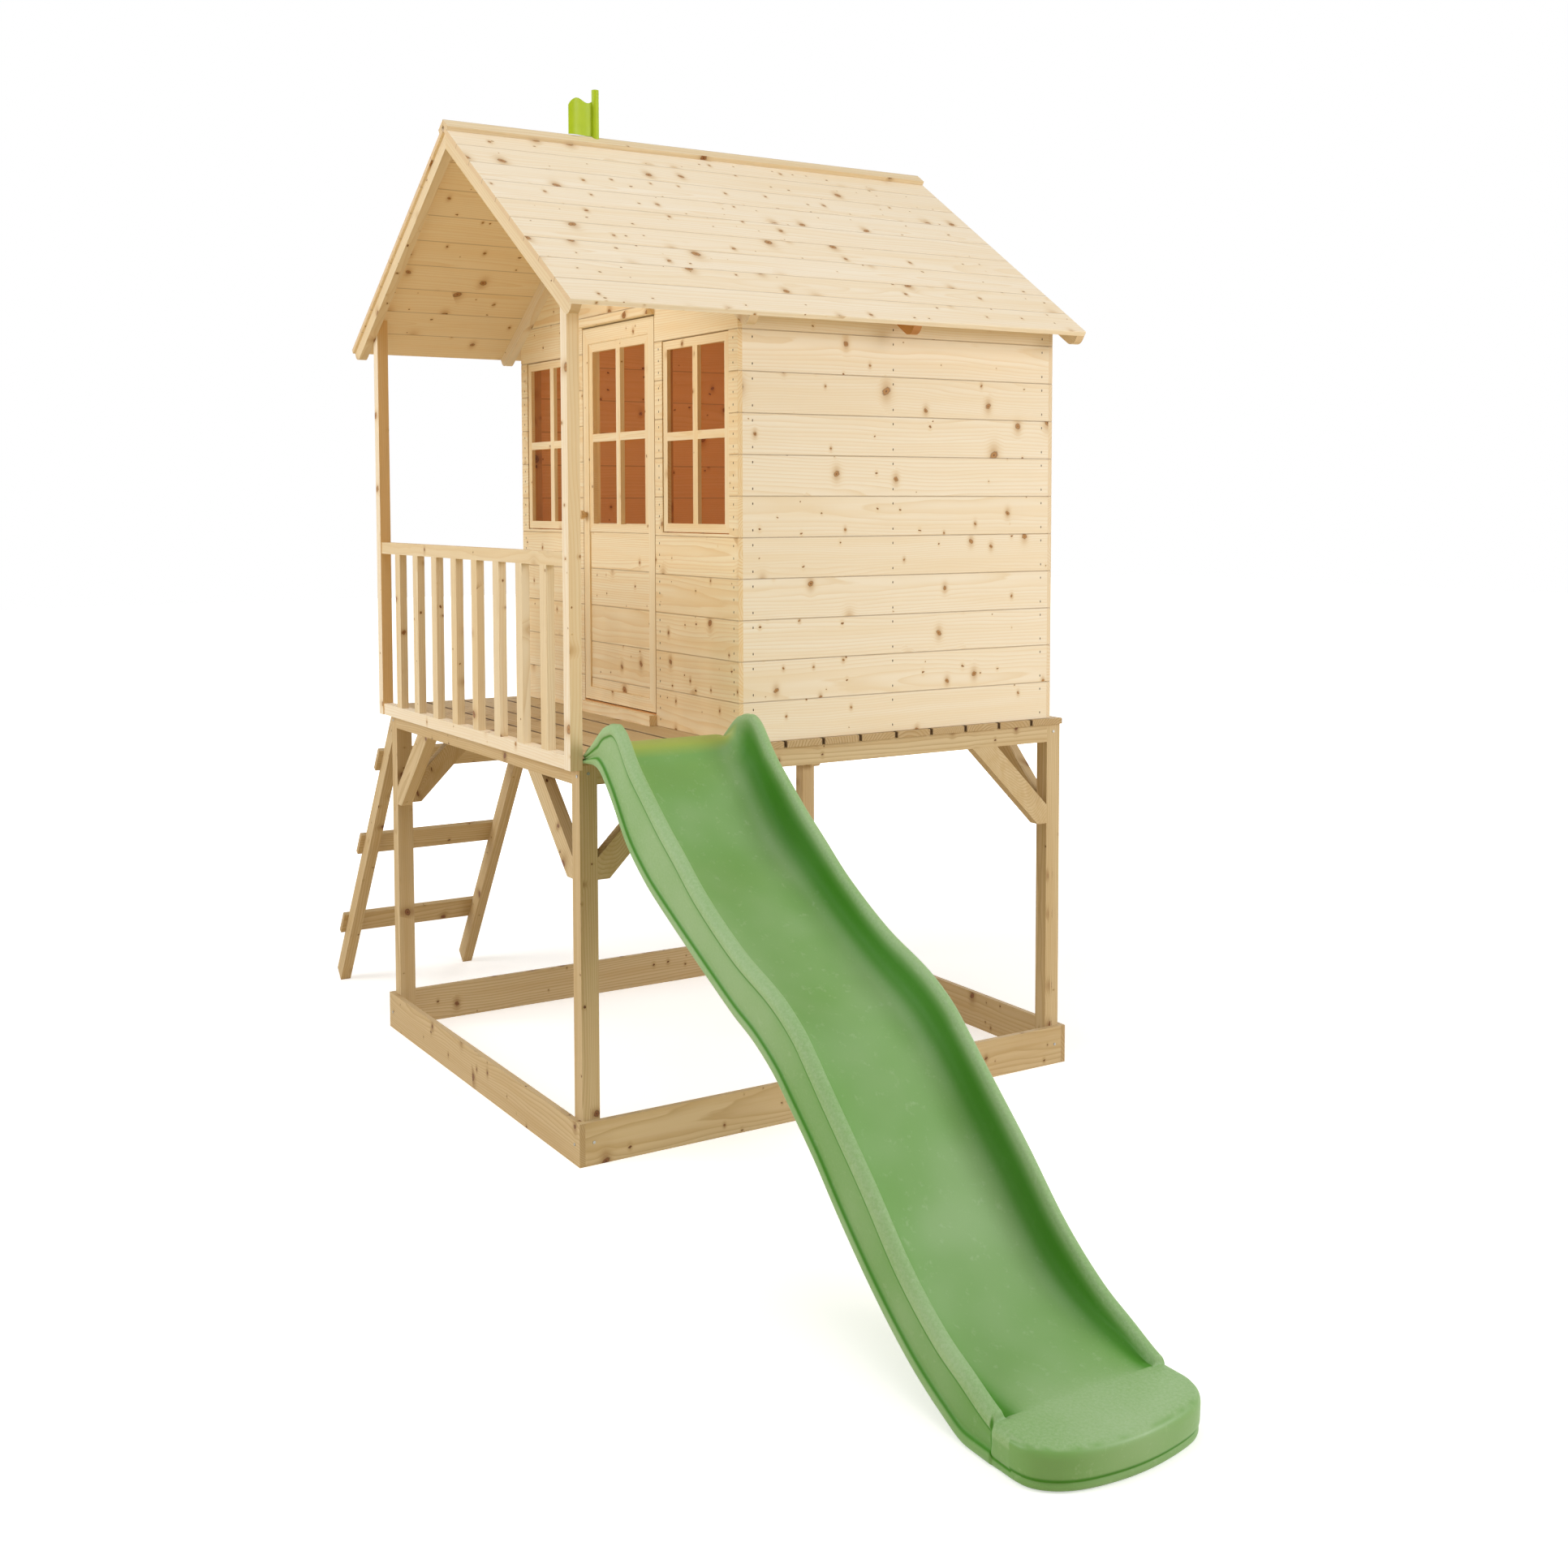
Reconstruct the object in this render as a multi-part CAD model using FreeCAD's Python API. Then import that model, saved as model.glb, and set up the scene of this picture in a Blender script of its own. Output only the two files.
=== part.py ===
import FreeCAD, Part
import math
import os

# Stilt playhouse with a slide and a ladder, in millimetres.
# The model is drawn from the outer front corner of the front right stilt:
# x grows towards the slide, y towards the back wall, z upwards from the ground.
# place() then moves every piece so that the origin is under the middle of the whole.

# Stilt frame
frame_width = 1598.0
frame_depth = 1794.0
stilt_height = 1170.0
stilt_width = 52.0
stilt_depth = 56.0
beam_height = 60.0
beam_thickness = 40.0
base_board_height = 128.0
base_board_thickness = 18.0
brace_width = 72.0
brace_thickness = 38.0
brace_reach = 316.0
brace_drop = 278.0

# Deck
deck_board_count = 13
deck_board_width = 130.0
deck_board_thickness = 20.0
deck_overhang_slide = 12.0
deck_overhang_ladder = 17.0

# Ladder
ladder_foot_run = 731.0
ladder_seat_drop = 20.0
ladder_rail_depth = 56.0
ladder_rail_width = 40.0
ladder_rail_front_y = 23.0
ladder_clear_width = 480.0
ladder_foot_rise = 41.0
rung_count = 3
rung_first_height = 250.0
rung_pitch = 355.0
rung_width = 95.0
rung_thickness = 18.0
rung_overhang = 17.0

# Veranda
veranda_depth = 530.0
veranda_post_width = 42.0
veranda_post_depth = 38.0
veranda_overhang = 23.0
rail_height = 40.0
rail_depth = 34.0
top_rail_above_deck = 591.0
bottom_rail_above_deck = 8.5
baluster_count = 8
baluster_width = 47.0
baluster_depth = 25.0
baluster_shift = 9.0

# House walls
house_beyond_frame = 17.0
house_depth = 1220.0
side_wall_height = 1360.0
board_cover = 125.0
board_thickness = 16.0
board_chamfer = 2.0
stud_width = 45.0
stud_depth = 28.0
side_middle_stud_from_front = 568.0

# Door
door_opening_width = 544.0
door_sill_height = 39.0
door_opening_height = 1301.0
door_gap = 4.0
door_stile_width = 43.0
door_top_rail_width = 55.0
door_board_recess = 6.0
door_board_count = 4
door_first_board = 33.0
door_light_height = 650.0
door_bead_width = 28.0
door_muntin_width = 31.0
muntin_height = 27.0
middle_rail_width = 60.0
knob_radius = 14.5
knob_length = 30.0
knob_neck_radius = 8.0
knob_neck_length = 11.0
knob_edge_length = 5.0
knob_above_deck = 690.0
batten_proud = 26.0
header_batten_height = 26.0
threshold_batten_height = 35.0
lintel_height = 45.0

# Door hinges
hinge_height = 60.0
hinge_leaf_width = 26.0
hinge_leaf_thickness = 2.0
hinge_barrel_radius = 5.0
hinge_pin_radius = 2.5
hinge_pin_clearance = 0.05
hinge_play = 0.3
hinge_inset = 170.0

# Windows
window_height = 615.0
window_corner_margin = 55.0
window_door_margin = 51.5
window_gap = 3.0
window_bead_width = 27.0
bead_inset = 3.0
pane_thickness = 3.0
pane_lap = 8.0
pane_play = 1.0

# Roof
roof_pitch = 34.1
roof_board_count = 9
roof_eave_overhang = 124.0
roof_front_overhang = 8.0
rafter_thickness = 30.0
rafter_depth = 44.0
rafter_tail_radius = 30.0
middle_rafter_from_front = 575.0
ridge_cap_width = 38.0
ridge_cap_thickness = 15.0
ridge_cleat_drop = 72.0
ridge_cleat_thickness = 30.0

# Flag
flag_from_house_front = -73.0
flag_pole_radius = 12.0
flag_pole_height = 154.0
flag_length = 85.0
flag_bottom_gap = 2.0
flag_height = 119.0
flag_thickness = 5.0
flag_wave = 7.0

# Slide
slide_reach = 2061.0
slide_width = 480.0
slide_rim_width = 30.0
slide_lip_reach = 28.0
slide_lip_thickness = 15.0
slide_floor_radius = 40.0

# Screws
screw_head_radius = 4.5
screw_head_height = 1.5
screw_shank_radius = 2.0
screw_length = 45.0
screw_clearance = 0.1
screw_edge_distance = 16.0
screw_stagger = 4.0

# One overrun serves every cutting tool
overrun = 50.0

# Heights and places that follow from the sizes above
deck_top = stilt_height + deck_board_thickness
beam_bottom = stilt_height - beam_height
frame_left = -frame_width
house_width = frame_width + house_beyond_frame
house_left = -house_width
house_centre = -house_width / 2
house_front = veranda_depth
house_back = house_front + house_depth
wall_top = deck_top + side_wall_height
wall_depth = board_thickness + stud_depth
board_rows = math.ceil(side_wall_height / board_cover)
pitch_cos = math.cos(math.radians(roof_pitch))
pitch_sin = math.sin(math.radians(roof_pitch))
pitch_tan = pitch_sin / pitch_cos
roof_apex = wall_top + house_width / 2 * pitch_tan
roof_slope_length = (house_width / 2 + roof_eave_overhang) / pitch_cos
roof_board_cover = roof_slope_length / roof_board_count
roof_front = -veranda_post_depth - rafter_thickness - roof_front_overhang
roof_back = house_back + rafter_thickness
roof_half_width = roof_slope_length * pitch_cos
deck_left = frame_left - deck_overhang_ladder
deck_right = deck_overhang_slide
door_left = house_centre - door_opening_width / 2
door_right = house_centre + door_opening_width / 2
door_bottom = deck_top + door_sill_height
door_top = door_bottom + door_opening_height
window_bottom_row = board_rows - 1
window_top = deck_top + window_bottom_row * board_cover
window_bottom = window_top - window_height
window_width = (house_width - door_opening_width) / 2 - window_corner_margin - window_door_margin
window_centre_offset = house_width / 2 - window_corner_margin - window_width / 2
window_side_near = window_centre_offset - window_width / 2
window_side_far = window_centre_offset + window_width / 2

ladder_seat = stilt_height - ladder_seat_drop
ladder_length = math.hypot(ladder_foot_run, ladder_seat)
ladder_run_share = ladder_foot_run / ladder_length
ladder_rise_share = ladder_seat / ladder_length
ladder_foot_inner = frame_left - ladder_foot_run
ladder_back_offset = ladder_rail_depth / ladder_rise_share
ladder_run_per_rise = ladder_run_share / ladder_rise_share
ladder_foot_outer = ladder_foot_inner - ladder_back_offset + ladder_foot_rise * ladder_run_per_rise

slide_back = deck_right
slide_nose = slide_back + slide_reach

middle_x = (ladder_foot_outer + slide_nose) / 2
middle_y = (roof_front + frame_depth + base_board_thickness) / 2


def point(x, y, z):
    return FreeCAD.Vector(x, y, z)


def block(x_low, x_high, y_low, y_high, z_low, z_high):
    corner = point(x_low, y_low, z_low)
    return Part.makeBox(x_high - x_low, y_high - y_low, z_high - z_low, corner)


def prism(corners, push):
    outline = Part.makePolygon(corners + [corners[0]])
    return Part.Face(outline).extrude(push)


def group(pieces):
    return Part.makeCompound(pieces)


def place(pieces, node):
    whole = group(pieces)
    whole.translate(point(-middle_x, -middle_y, 0))
    whole.exportStep("parts/" + node + ".step")


def plank(start, along, across, out, length, width, thickness):
    """A board with chamfered long edges on its outer face; start lies on its inner face."""
    profile = [
        start,
        start + across * width,
        start + across * width + out * (thickness - board_chamfer),
        start + across * (width - board_chamfer) + out * thickness,
        start + across * board_chamfer + out * thickness,
        start + out * (thickness - board_chamfer),
    ]
    return prism(profile, along * length)


def below_roof(offset, y_low, y_high):
    """The space under the plane that lies offset above the underside of the roof boards."""
    peak = roof_apex + offset / pitch_cos
    reach = roof_half_width + overrun
    eave = peak - reach * pitch_tan
    corners = [
        point(house_centre - reach, y_low, 0),
        point(house_centre + reach, y_low, 0),
        point(house_centre + reach, y_low, eave),
        point(house_centre, y_low, peak),
        point(house_centre - reach, y_low, eave),
    ]
    return prism(corners, point(0, y_high - y_low, 0))


def solids_of(shape):
    return list(shape.Solids)


def mitred_frame(x_low, x_high, z_low, z_high, side, bottom, top, y_front, y_back):
    """Four members that meet at mitred corners."""
    outer = [(x_low, z_low), (x_high, z_low), (x_high, z_high), (x_low, z_high)]
    inner = [
        (x_low + side, z_low + bottom),
        (x_high - side, z_low + bottom),
        (x_high - side, z_high - top),
        (x_low + side, z_high - top),
    ]
    members = []
    for corner in range(4):
        following = (corner + 1) % 4
        ring = [outer[corner], outer[following], inner[following], inner[corner]]
        corners = [point(x, y_front, z) for x, z in ring]
        members.append(prism(corners, point(0, y_back - y_front, 0)))
    return members


# Screws: a pan head on the surface and a shank that goes into the wood
screw_places = []


def add_screw(x, y, z, direction):
    screw_places.append((point(x, y, z), direction))


def screw_solid(head_place, direction):
    head = Part.makeCylinder(screw_head_radius, screw_head_height, head_place, direction * -1)
    shank = Part.makeCylinder(screw_shank_radius, screw_length, head_place, direction)
    return head.fuse(shank).removeSplitter()


def drilled(shape):
    """Cut the shank holes of the screws that reach this piece."""
    for head_place, direction in screw_places:
        hole_length = screw_length + screw_clearance
        hole_radius = screw_shank_radius + screw_clearance
        hole = Part.makeCylinder(hole_radius, hole_length, head_place, direction)
        if shape.BoundBox.intersect(hole.BoundBox):
            shape = shape.cut(hole)
    return shape


def place_wood(pieces, node):
    place([drilled(piece) for piece in pieces], node)


to_back = point(0, 1, 0)
to_front = point(0, -1, 0)
to_slide = point(1, 0, 0)
to_ladder = point(-1, 0, 0)
downwards = point(0, 0, -1)
upwards = point(0, 0, 1)

# Screws of the stilt frame; crossing shanks in one stilt lie above and below each other
for level in (base_board_height / 2, stilt_height - beam_height / 2):
    skin = base_board_thickness if level < base_board_height else 0
    low = level - screw_stagger
    high = level + screw_stagger
    for x_place in (frame_left + screw_edge_distance, -screw_edge_distance):
        add_screw(x_place, -skin, low, to_back)
        add_screw(x_place, frame_depth + skin, low, to_front)
    for y_place in (stilt_depth / 2, frame_depth - stilt_depth / 2):
        add_screw(skin, y_place, high, to_ladder)
        under_ladder_rail = skin == 0 and y_place < frame_depth / 2
        if not under_ladder_rail:
            add_screw(frame_left - skin, y_place, high, to_slide)
slide_screw_first = len(screw_places)
for y_share in (0.2, 0.8):
    add_screw(-slide_lip_reach / 2, slide_width * y_share, deck_top + slide_lip_thickness, downwards)
slide_screw_places = screw_places[slide_screw_first:]


def make_base():
    left = frame_left - base_board_thickness
    right = base_board_thickness
    back = frame_depth + base_board_thickness
    place_wood([block(left, right, -base_board_thickness, 0, 0, base_board_height)], "base_board_front")
    place_wood([block(left, right, frame_depth, back, 0, base_board_height)], "base_board_back")
    place_wood([block(left, frame_left, 0, frame_depth, 0, base_board_height)], "base_board_left")
    place_wood([block(0, right, 0, frame_depth, 0, base_board_height)], "base_board_right")


def make_stilts():
    for side, x_low in (("left", frame_left), ("right", -stilt_width)):
        for end, y_low in (("front", 0), ("back", frame_depth - stilt_depth)):
            stilt = block(x_low, x_low + stilt_width, y_low, y_low + stilt_depth, 0, stilt_height)
            place_wood([stilt], "stilt_post_" + end + "_" + side)


def make_beams():
    inner_left = frame_left + stilt_width
    inner_right = -stilt_width
    inner_back = frame_depth - stilt_depth
    beam_back = frame_depth - beam_thickness
    front = block(inner_left, inner_right, 0, beam_thickness, beam_bottom, stilt_height)
    back = block(inner_left, inner_right, beam_back, frame_depth, beam_bottom, stilt_height)
    left = block(frame_left, frame_left + beam_thickness, stilt_depth, inner_back, beam_bottom, stilt_height)
    right = block(-beam_thickness, 0, stilt_depth, inner_back, beam_bottom, stilt_height)
    joist_left = frame_left / 2 - beam_thickness / 2
    joist_right = joist_left + beam_thickness
    joist = block(joist_left, joist_right, beam_thickness, beam_back, beam_bottom, stilt_height)
    place_wood([front], "rim_beam_front")
    place_wood([back], "rim_beam_back")
    place_wood([left], "rim_beam_left")
    place_wood([right], "rim_beam_right")
    place_wood([joist], "deck_joist")


def brace(corner, inwards, thick):
    """A knee brace whose flat ends meet the stilt face and the underside of the beam."""
    near = brace_reach - brace_width * math.sqrt(2)
    tip = brace_reach - brace_drop
    corners = [
        corner + inwards * near,
        corner + inwards * brace_reach,
        corner + inwards * tip + downwards * brace_drop,
        corner + downwards * brace_drop,
        corner + downwards * near,
    ]
    return prism(corners, thick * brace_thickness)


def make_braces():
    inner_left = frame_left + stilt_width
    inner_right = -stilt_width
    inner_back = frame_depth - stilt_depth
    corners = {
        "front_left": (inner_left, stilt_depth, to_slide, to_back, 0, frame_left),
        "front_right": (inner_right, stilt_depth, to_ladder, to_back, 0, 0),
        "back_left": (inner_left, inner_back, to_slide, to_front, frame_depth, frame_left),
        "back_right": (inner_right, inner_back, to_ladder, to_front, frame_depth, 0),
    }
    for corner, (stilt_x, stilt_y, inwards_x, inwards_y, face_y, face_x) in corners.items():
        across = brace(point(stilt_x, face_y, beam_bottom), inwards_x, inwards_y)
        along = brace(point(face_x, stilt_y, beam_bottom), inwards_y, inwards_x)
        place_wood([across, along], "braces_" + corner)


def make_deck():
    pitch = (frame_depth - deck_board_width) / (deck_board_count - 1)
    length = deck_right - deck_left
    width = deck_board_width
    boards = []
    for row in range(deck_board_count):
        start = point(deck_left, row * pitch, stilt_height)
        boards.append(plank(start, to_slide, to_back, upwards, length, width, deck_board_thickness))
    place_wood(boards, "deck_boards")


def make_ladder():
    outer_top = frame_left - ladder_back_offset + ladder_seat_drop * ladder_run_per_rise
    rail_corners = [
        (ladder_foot_outer, ladder_foot_rise),
        (ladder_foot_inner, 0),
        (frame_left, ladder_seat),
        (frame_left, stilt_height),
        (outer_top, stilt_height),
    ]
    back_rail_y = ladder_rail_front_y + ladder_rail_width + ladder_clear_width
    for end, y_low in (("front", ladder_rail_front_y), ("back", back_rail_y)):
        corners = [point(x, y_low, z) for x, z in rail_corners]
        place_wood([prism(corners, to_back * ladder_rail_width)], "ladder_rail_" + end)
    climb = point(ladder_run_share, 0, ladder_rise_share)
    outwards = point(-ladder_rise_share, 0, ladder_run_share)
    rungs = []
    for rung in range(rung_count):
        height = rung_first_height + rung * rung_pitch
        rise = height - ladder_foot_rise
        centre = point(ladder_foot_outer + rise * ladder_run_per_rise, 0, height)
        start = centre - climb * (rung_width / 2) + to_back * (ladder_rail_front_y - rung_overhang)
        length = back_rail_y + ladder_rail_width - ladder_rail_front_y + 2 * rung_overhang
        rungs.append(plank(start, to_back, climb, outwards, length, rung_width, rung_thickness))
    place_wood(rungs, "ladder_rungs")


def make_veranda():
    rail_bottom = deck_top + bottom_rail_above_deck - rail_height
    top_rail_top = deck_top + top_rail_above_deck
    left_outer = frame_left - veranda_overhang
    right_outer = veranda_overhang
    roof_space = below_roof(0, -veranda_post_depth, 0)
    for side, x_low in (("left", left_outer), ("right", right_outer - veranda_post_width)):
        post = block(x_low, x_low + veranda_post_width, -veranda_post_depth, 0, rail_bottom, roof_apex)
        place_wood(solids_of(post.common(roof_space)), "veranda_post_" + side)
    inner_left = left_outer + veranda_post_width
    inner_right = right_outer - veranda_post_width
    bottom_top = rail_bottom + rail_height
    top_bottom = top_rail_top - rail_height
    place_wood([block(inner_left, inner_right, -rail_depth, 0, rail_bottom, bottom_top)], "bottom_rail")
    place_wood([block(inner_left, inner_right, -rail_depth, 0, top_bottom, top_rail_top)], "top_rail")
    gap = (inner_right - inner_left - baluster_count * baluster_width) / (baluster_count + 1)
    balusters = []
    for number in range(baluster_count):
        x_low = inner_left + gap + number * (baluster_width + gap) + baluster_shift
        y_high = baluster_depth - rail_depth
        balusters.append(block(x_low, x_low + baluster_width, -rail_depth, y_high, bottom_top, top_bottom))
    place_wood(balusters, "balusters")


def wall_rows(start, along, out, length, first_row, last_row):
    rows = []
    for row in range(first_row, last_row):
        corner = start + upwards * (row * board_cover)
        rows.append(plank(corner, along, upwards, out, length, board_cover, board_thickness))
    return rows


def clipped(rows, space, holes):
    """Boards kept inside a space and cut round holes, as separate pieces."""
    pieces = []
    for row in rows:
        kept = row.common(space)
        for hole in holes:
            if kept.BoundBox.intersect(hole.BoundBox):
                kept = kept.cut(hole)
        pieces.extend(solids_of(kept))
    return pieces


def rafter(side, y_low):
    """One rafter with a plumb cut at the ridge and a rounded tail; side is 1 or -1."""
    def on_slope(run, drop):
        x = house_centre + side * (run * pitch_cos - drop * pitch_sin)
        return point(x, y_low, roof_apex - run * pitch_sin - drop * pitch_cos)

    straight = rafter_depth - rafter_tail_radius
    turn = rafter_tail_radius / math.sqrt(2)
    tail = roof_slope_length
    ridge_top = point(house_centre, y_low, roof_apex)
    ridge_bottom = point(house_centre, y_low, roof_apex - rafter_depth / pitch_cos)
    arc_start = on_slope(tail, straight)
    arc_middle = on_slope(tail - rafter_tail_radius + turn, straight + turn)
    arc_end = on_slope(tail - rafter_tail_radius, rafter_depth)
    edges = [
        Part.makeLine(ridge_top, on_slope(tail, 0)),
        Part.makeLine(on_slope(tail, 0), arc_start),
        Part.Arc(arc_start, arc_middle, arc_end).toShape(),
        Part.makeLine(arc_end, ridge_bottom),
        Part.makeLine(ridge_bottom, ridge_top),
    ]
    return Part.Face(Part.Wire(edges)).extrude(to_back * rafter_thickness)


def make_walls():
    gable = below_roof(0, house_front, house_back)
    peak_rows = math.ceil((roof_apex - deck_top) / board_cover)
    front_corner = point(house_left, house_front + board_thickness, deck_top)
    front_rows = wall_rows(front_corner, to_slide, to_front, house_width, 0, window_bottom_row)
    front_peak = wall_rows(front_corner, to_slide, to_front, house_width, window_bottom_row, peak_rows)
    back_corner = point(house_left, house_back - board_thickness, deck_top)
    back_rows = wall_rows(back_corner, to_slide, to_back, house_width, 0, peak_rows)

    front_y = house_front - overrun
    inside_y = house_front + overrun
    above = roof_apex + overrun
    left_space = block(house_left, door_left, front_y, inside_y, deck_top, above)
    right_space = block(door_right, 0, front_y, inside_y, deck_top, above)
    door_hole = block(door_left, door_right, front_y, inside_y, 0, door_top)
    left_hole = block(house_centre - window_side_far, house_centre - window_side_near,
                      front_y, inside_y, window_bottom, window_top)
    right_hole = block(house_centre + window_side_near, house_centre + window_side_far,
                       front_y, inside_y, window_bottom, window_top)
    place_wood(clipped(front_rows, left_space, [left_hole]), "front_boards_left")
    place_wood(clipped(front_rows, right_space, [right_hole]), "front_boards_right")
    place_wood(clipped(front_peak, gable, [door_hole]), "front_gable_boards")
    place_wood(clipped(back_rows, gable, []), "back_wall_boards")

    middle_y_low = house_front + middle_rafter_from_front - rafter_thickness / 2
    middle_pair = [rafter(1, middle_y_low), rafter(-1, middle_y_low)]
    side_length = house_depth - 2 * board_thickness
    right_corner = point(-board_thickness, house_front + board_thickness, deck_top)
    right_rows = wall_rows(right_corner, to_back, to_slide, side_length, 0, board_rows)
    left_corner = point(house_left + board_thickness, house_front + board_thickness, deck_top)
    left_rows = wall_rows(left_corner, to_back, to_ladder, side_length, 0, board_rows)
    place_wood(clipped(right_rows, gable, middle_pair), "right_wall_boards")
    place_wood(clipped(left_rows, gable, middle_pair), "left_wall_boards")

    stud_rows = {
        "right_wall_studs": (-wall_depth, -board_thickness),
        "left_wall_studs": (house_left + board_thickness, house_left + wall_depth),
    }
    stud_starts = [
        house_front + board_thickness,
        house_front + side_middle_stud_from_front - stud_width / 2,
        house_back - board_thickness - stud_width,
    ]
    for node, (x_low, x_high) in stud_rows.items():
        studs = []
        for y_low in stud_starts:
            studs.append(block(x_low, x_high, y_low, y_low + stud_width, deck_top, roof_apex))
        place_wood(clipped(studs, gable, middle_pair), node)
    stud_left = house_centre - stud_width / 2
    back_stud = block(stud_left, stud_left + stud_width, house_back - wall_depth,
                      house_back - board_thickness, deck_top, roof_apex)
    place_wood(clipped([back_stud], gable, []), "back_wall_stud")


def make_doorway():
    jamb_width = window_side_near - pane_lap - door_opening_width / 2
    stud_front = house_front + board_thickness
    stud_back = house_front + wall_depth
    jamb_top = door_top + lintel_height
    jambs = [
        block(door_left - jamb_width, door_left, stud_front, stud_back, deck_top, jamb_top),
        block(door_right, door_right + jamb_width, stud_front, stud_back, deck_top, jamb_top),
    ]
    lintel = block(door_left, door_right, stud_front, stud_back, door_top, jamb_top)
    sill = block(door_left, door_right, house_front, stud_back, deck_top, door_bottom)
    place_wood(jambs + [lintel, sill], "doorway_frame")
    batten_front = house_front - batten_proud
    header_top = door_top + header_batten_height
    header = block(door_left, door_right, batten_front, house_front, door_top, header_top)
    threshold_top = deck_top + threshold_batten_height
    threshold = block(door_left, door_right, batten_front, house_front, deck_top, threshold_top)
    place_wood([header], "header_batten")
    place_wood([threshold], "threshold_batten")


def glazing_bars(x_low, x_high, z_low, z_high, bead, upright, y_front, y_back):
    """A mitred bead with one upright and two level bars inside it."""
    members = mitred_frame(x_low, x_high, z_low, z_high, bead, bead, bead, y_front, y_back)
    x_middle = (x_low + x_high) / 2
    z_middle = (z_low + z_high) / 2
    members.append(block(x_middle - upright / 2, x_middle + upright / 2, y_front, y_back,
                         z_low + bead, z_high - bead))
    for x_start, x_end in ((x_low + bead, x_middle - upright / 2), (x_middle + upright / 2, x_high - bead)):
        members.append(block(x_start, x_end, y_front, y_back,
                             z_middle - muntin_height / 2, z_middle + muntin_height / 2))
    return members


def make_windows():
    y_front = house_front + bead_inset
    y_back = house_front + board_thickness
    left_middle = house_centre - window_centre_offset
    right_middle = house_centre + window_centre_offset
    for side, x_middle in (("left", left_middle), ("right", right_middle)):
        x_low = x_middle - window_width / 2 + window_gap
        x_high = x_middle + window_width / 2 - window_gap
        bars = glazing_bars(x_low, x_high, window_bottom + window_gap, window_top - window_gap,
                            window_bead_width, door_muntin_width, y_front, y_back)
        place_wood(bars, "window_frame_" + side)
        lap = pane_lap - pane_play
        pane = block(x_middle - window_width / 2 - lap, x_middle + window_width / 2 + lap,
                     y_back, y_back + pane_thickness, window_bottom - lap, window_top + lap)
        place([pane], "window_pane_" + side)


def make_door():
    left = door_left + door_gap
    right = door_right - door_gap
    bottom = door_bottom + door_gap
    top = door_top - door_gap
    face = house_front
    back = house_front + wall_depth
    inner_left = left + door_stile_width
    inner_right = right - door_stile_width
    light_top = top - door_top_rail_width
    light_bottom = light_top - door_light_height
    boards_bottom = bottom + door_stile_width
    board_face = face + door_board_recess
    board_back = board_face + board_thickness

    frame = mitred_frame(left, right, bottom, top, door_stile_width, door_stile_width,
                         door_top_rail_width, face, back)
    rail_low = light_bottom - middle_rail_width / 2
    frame.append(block(inner_left, inner_right, board_back, back, rail_low, rail_low + middle_rail_width))
    place(frame, "door_frame")

    corner = point(inner_left, board_back, boards_bottom)
    inner_width = inner_right - inner_left
    cover = (light_bottom - boards_bottom - door_first_board) / door_board_count
    boards = [plank(corner, to_slide, upwards, to_front, inner_width, door_first_board, board_thickness)]
    for row in range(door_board_count):
        start = corner + upwards * (door_first_board + row * cover)
        boards.append(plank(start, to_slide, upwards, to_front, inner_width, cover, board_thickness))
    place(boards, "door_boards")

    bead_face = face + bead_inset
    bead_back = board_back - pane_thickness
    bars = glazing_bars(inner_left, inner_right, light_bottom, light_top, door_bead_width,
                        door_muntin_width, bead_face, bead_back)
    place(bars, "door_window_frame")
    pane = block(inner_left + pane_play, inner_right - pane_play, bead_back, board_back,
                 light_bottom + pane_play, light_top - pane_play)
    place([pane], "door_pane")

    knob_x = left + door_stile_width / 2
    knob_centre = point(knob_x, face, deck_top + knob_above_deck)
    body_length = knob_length - knob_neck_length - knob_edge_length
    neck = Part.makeCylinder(knob_neck_radius, knob_neck_length, knob_centre, to_front)
    body = Part.makeCylinder(knob_radius, body_length, knob_centre + to_front * knob_neck_length, to_front)
    rim = Part.makeCone(knob_radius, knob_radius - knob_edge_length, knob_edge_length,
                        knob_centre + to_front * (knob_neck_length + body_length), to_front)
    place([neck.fuse([body, rim]).removeSplitter()], "door_knob")


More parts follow.
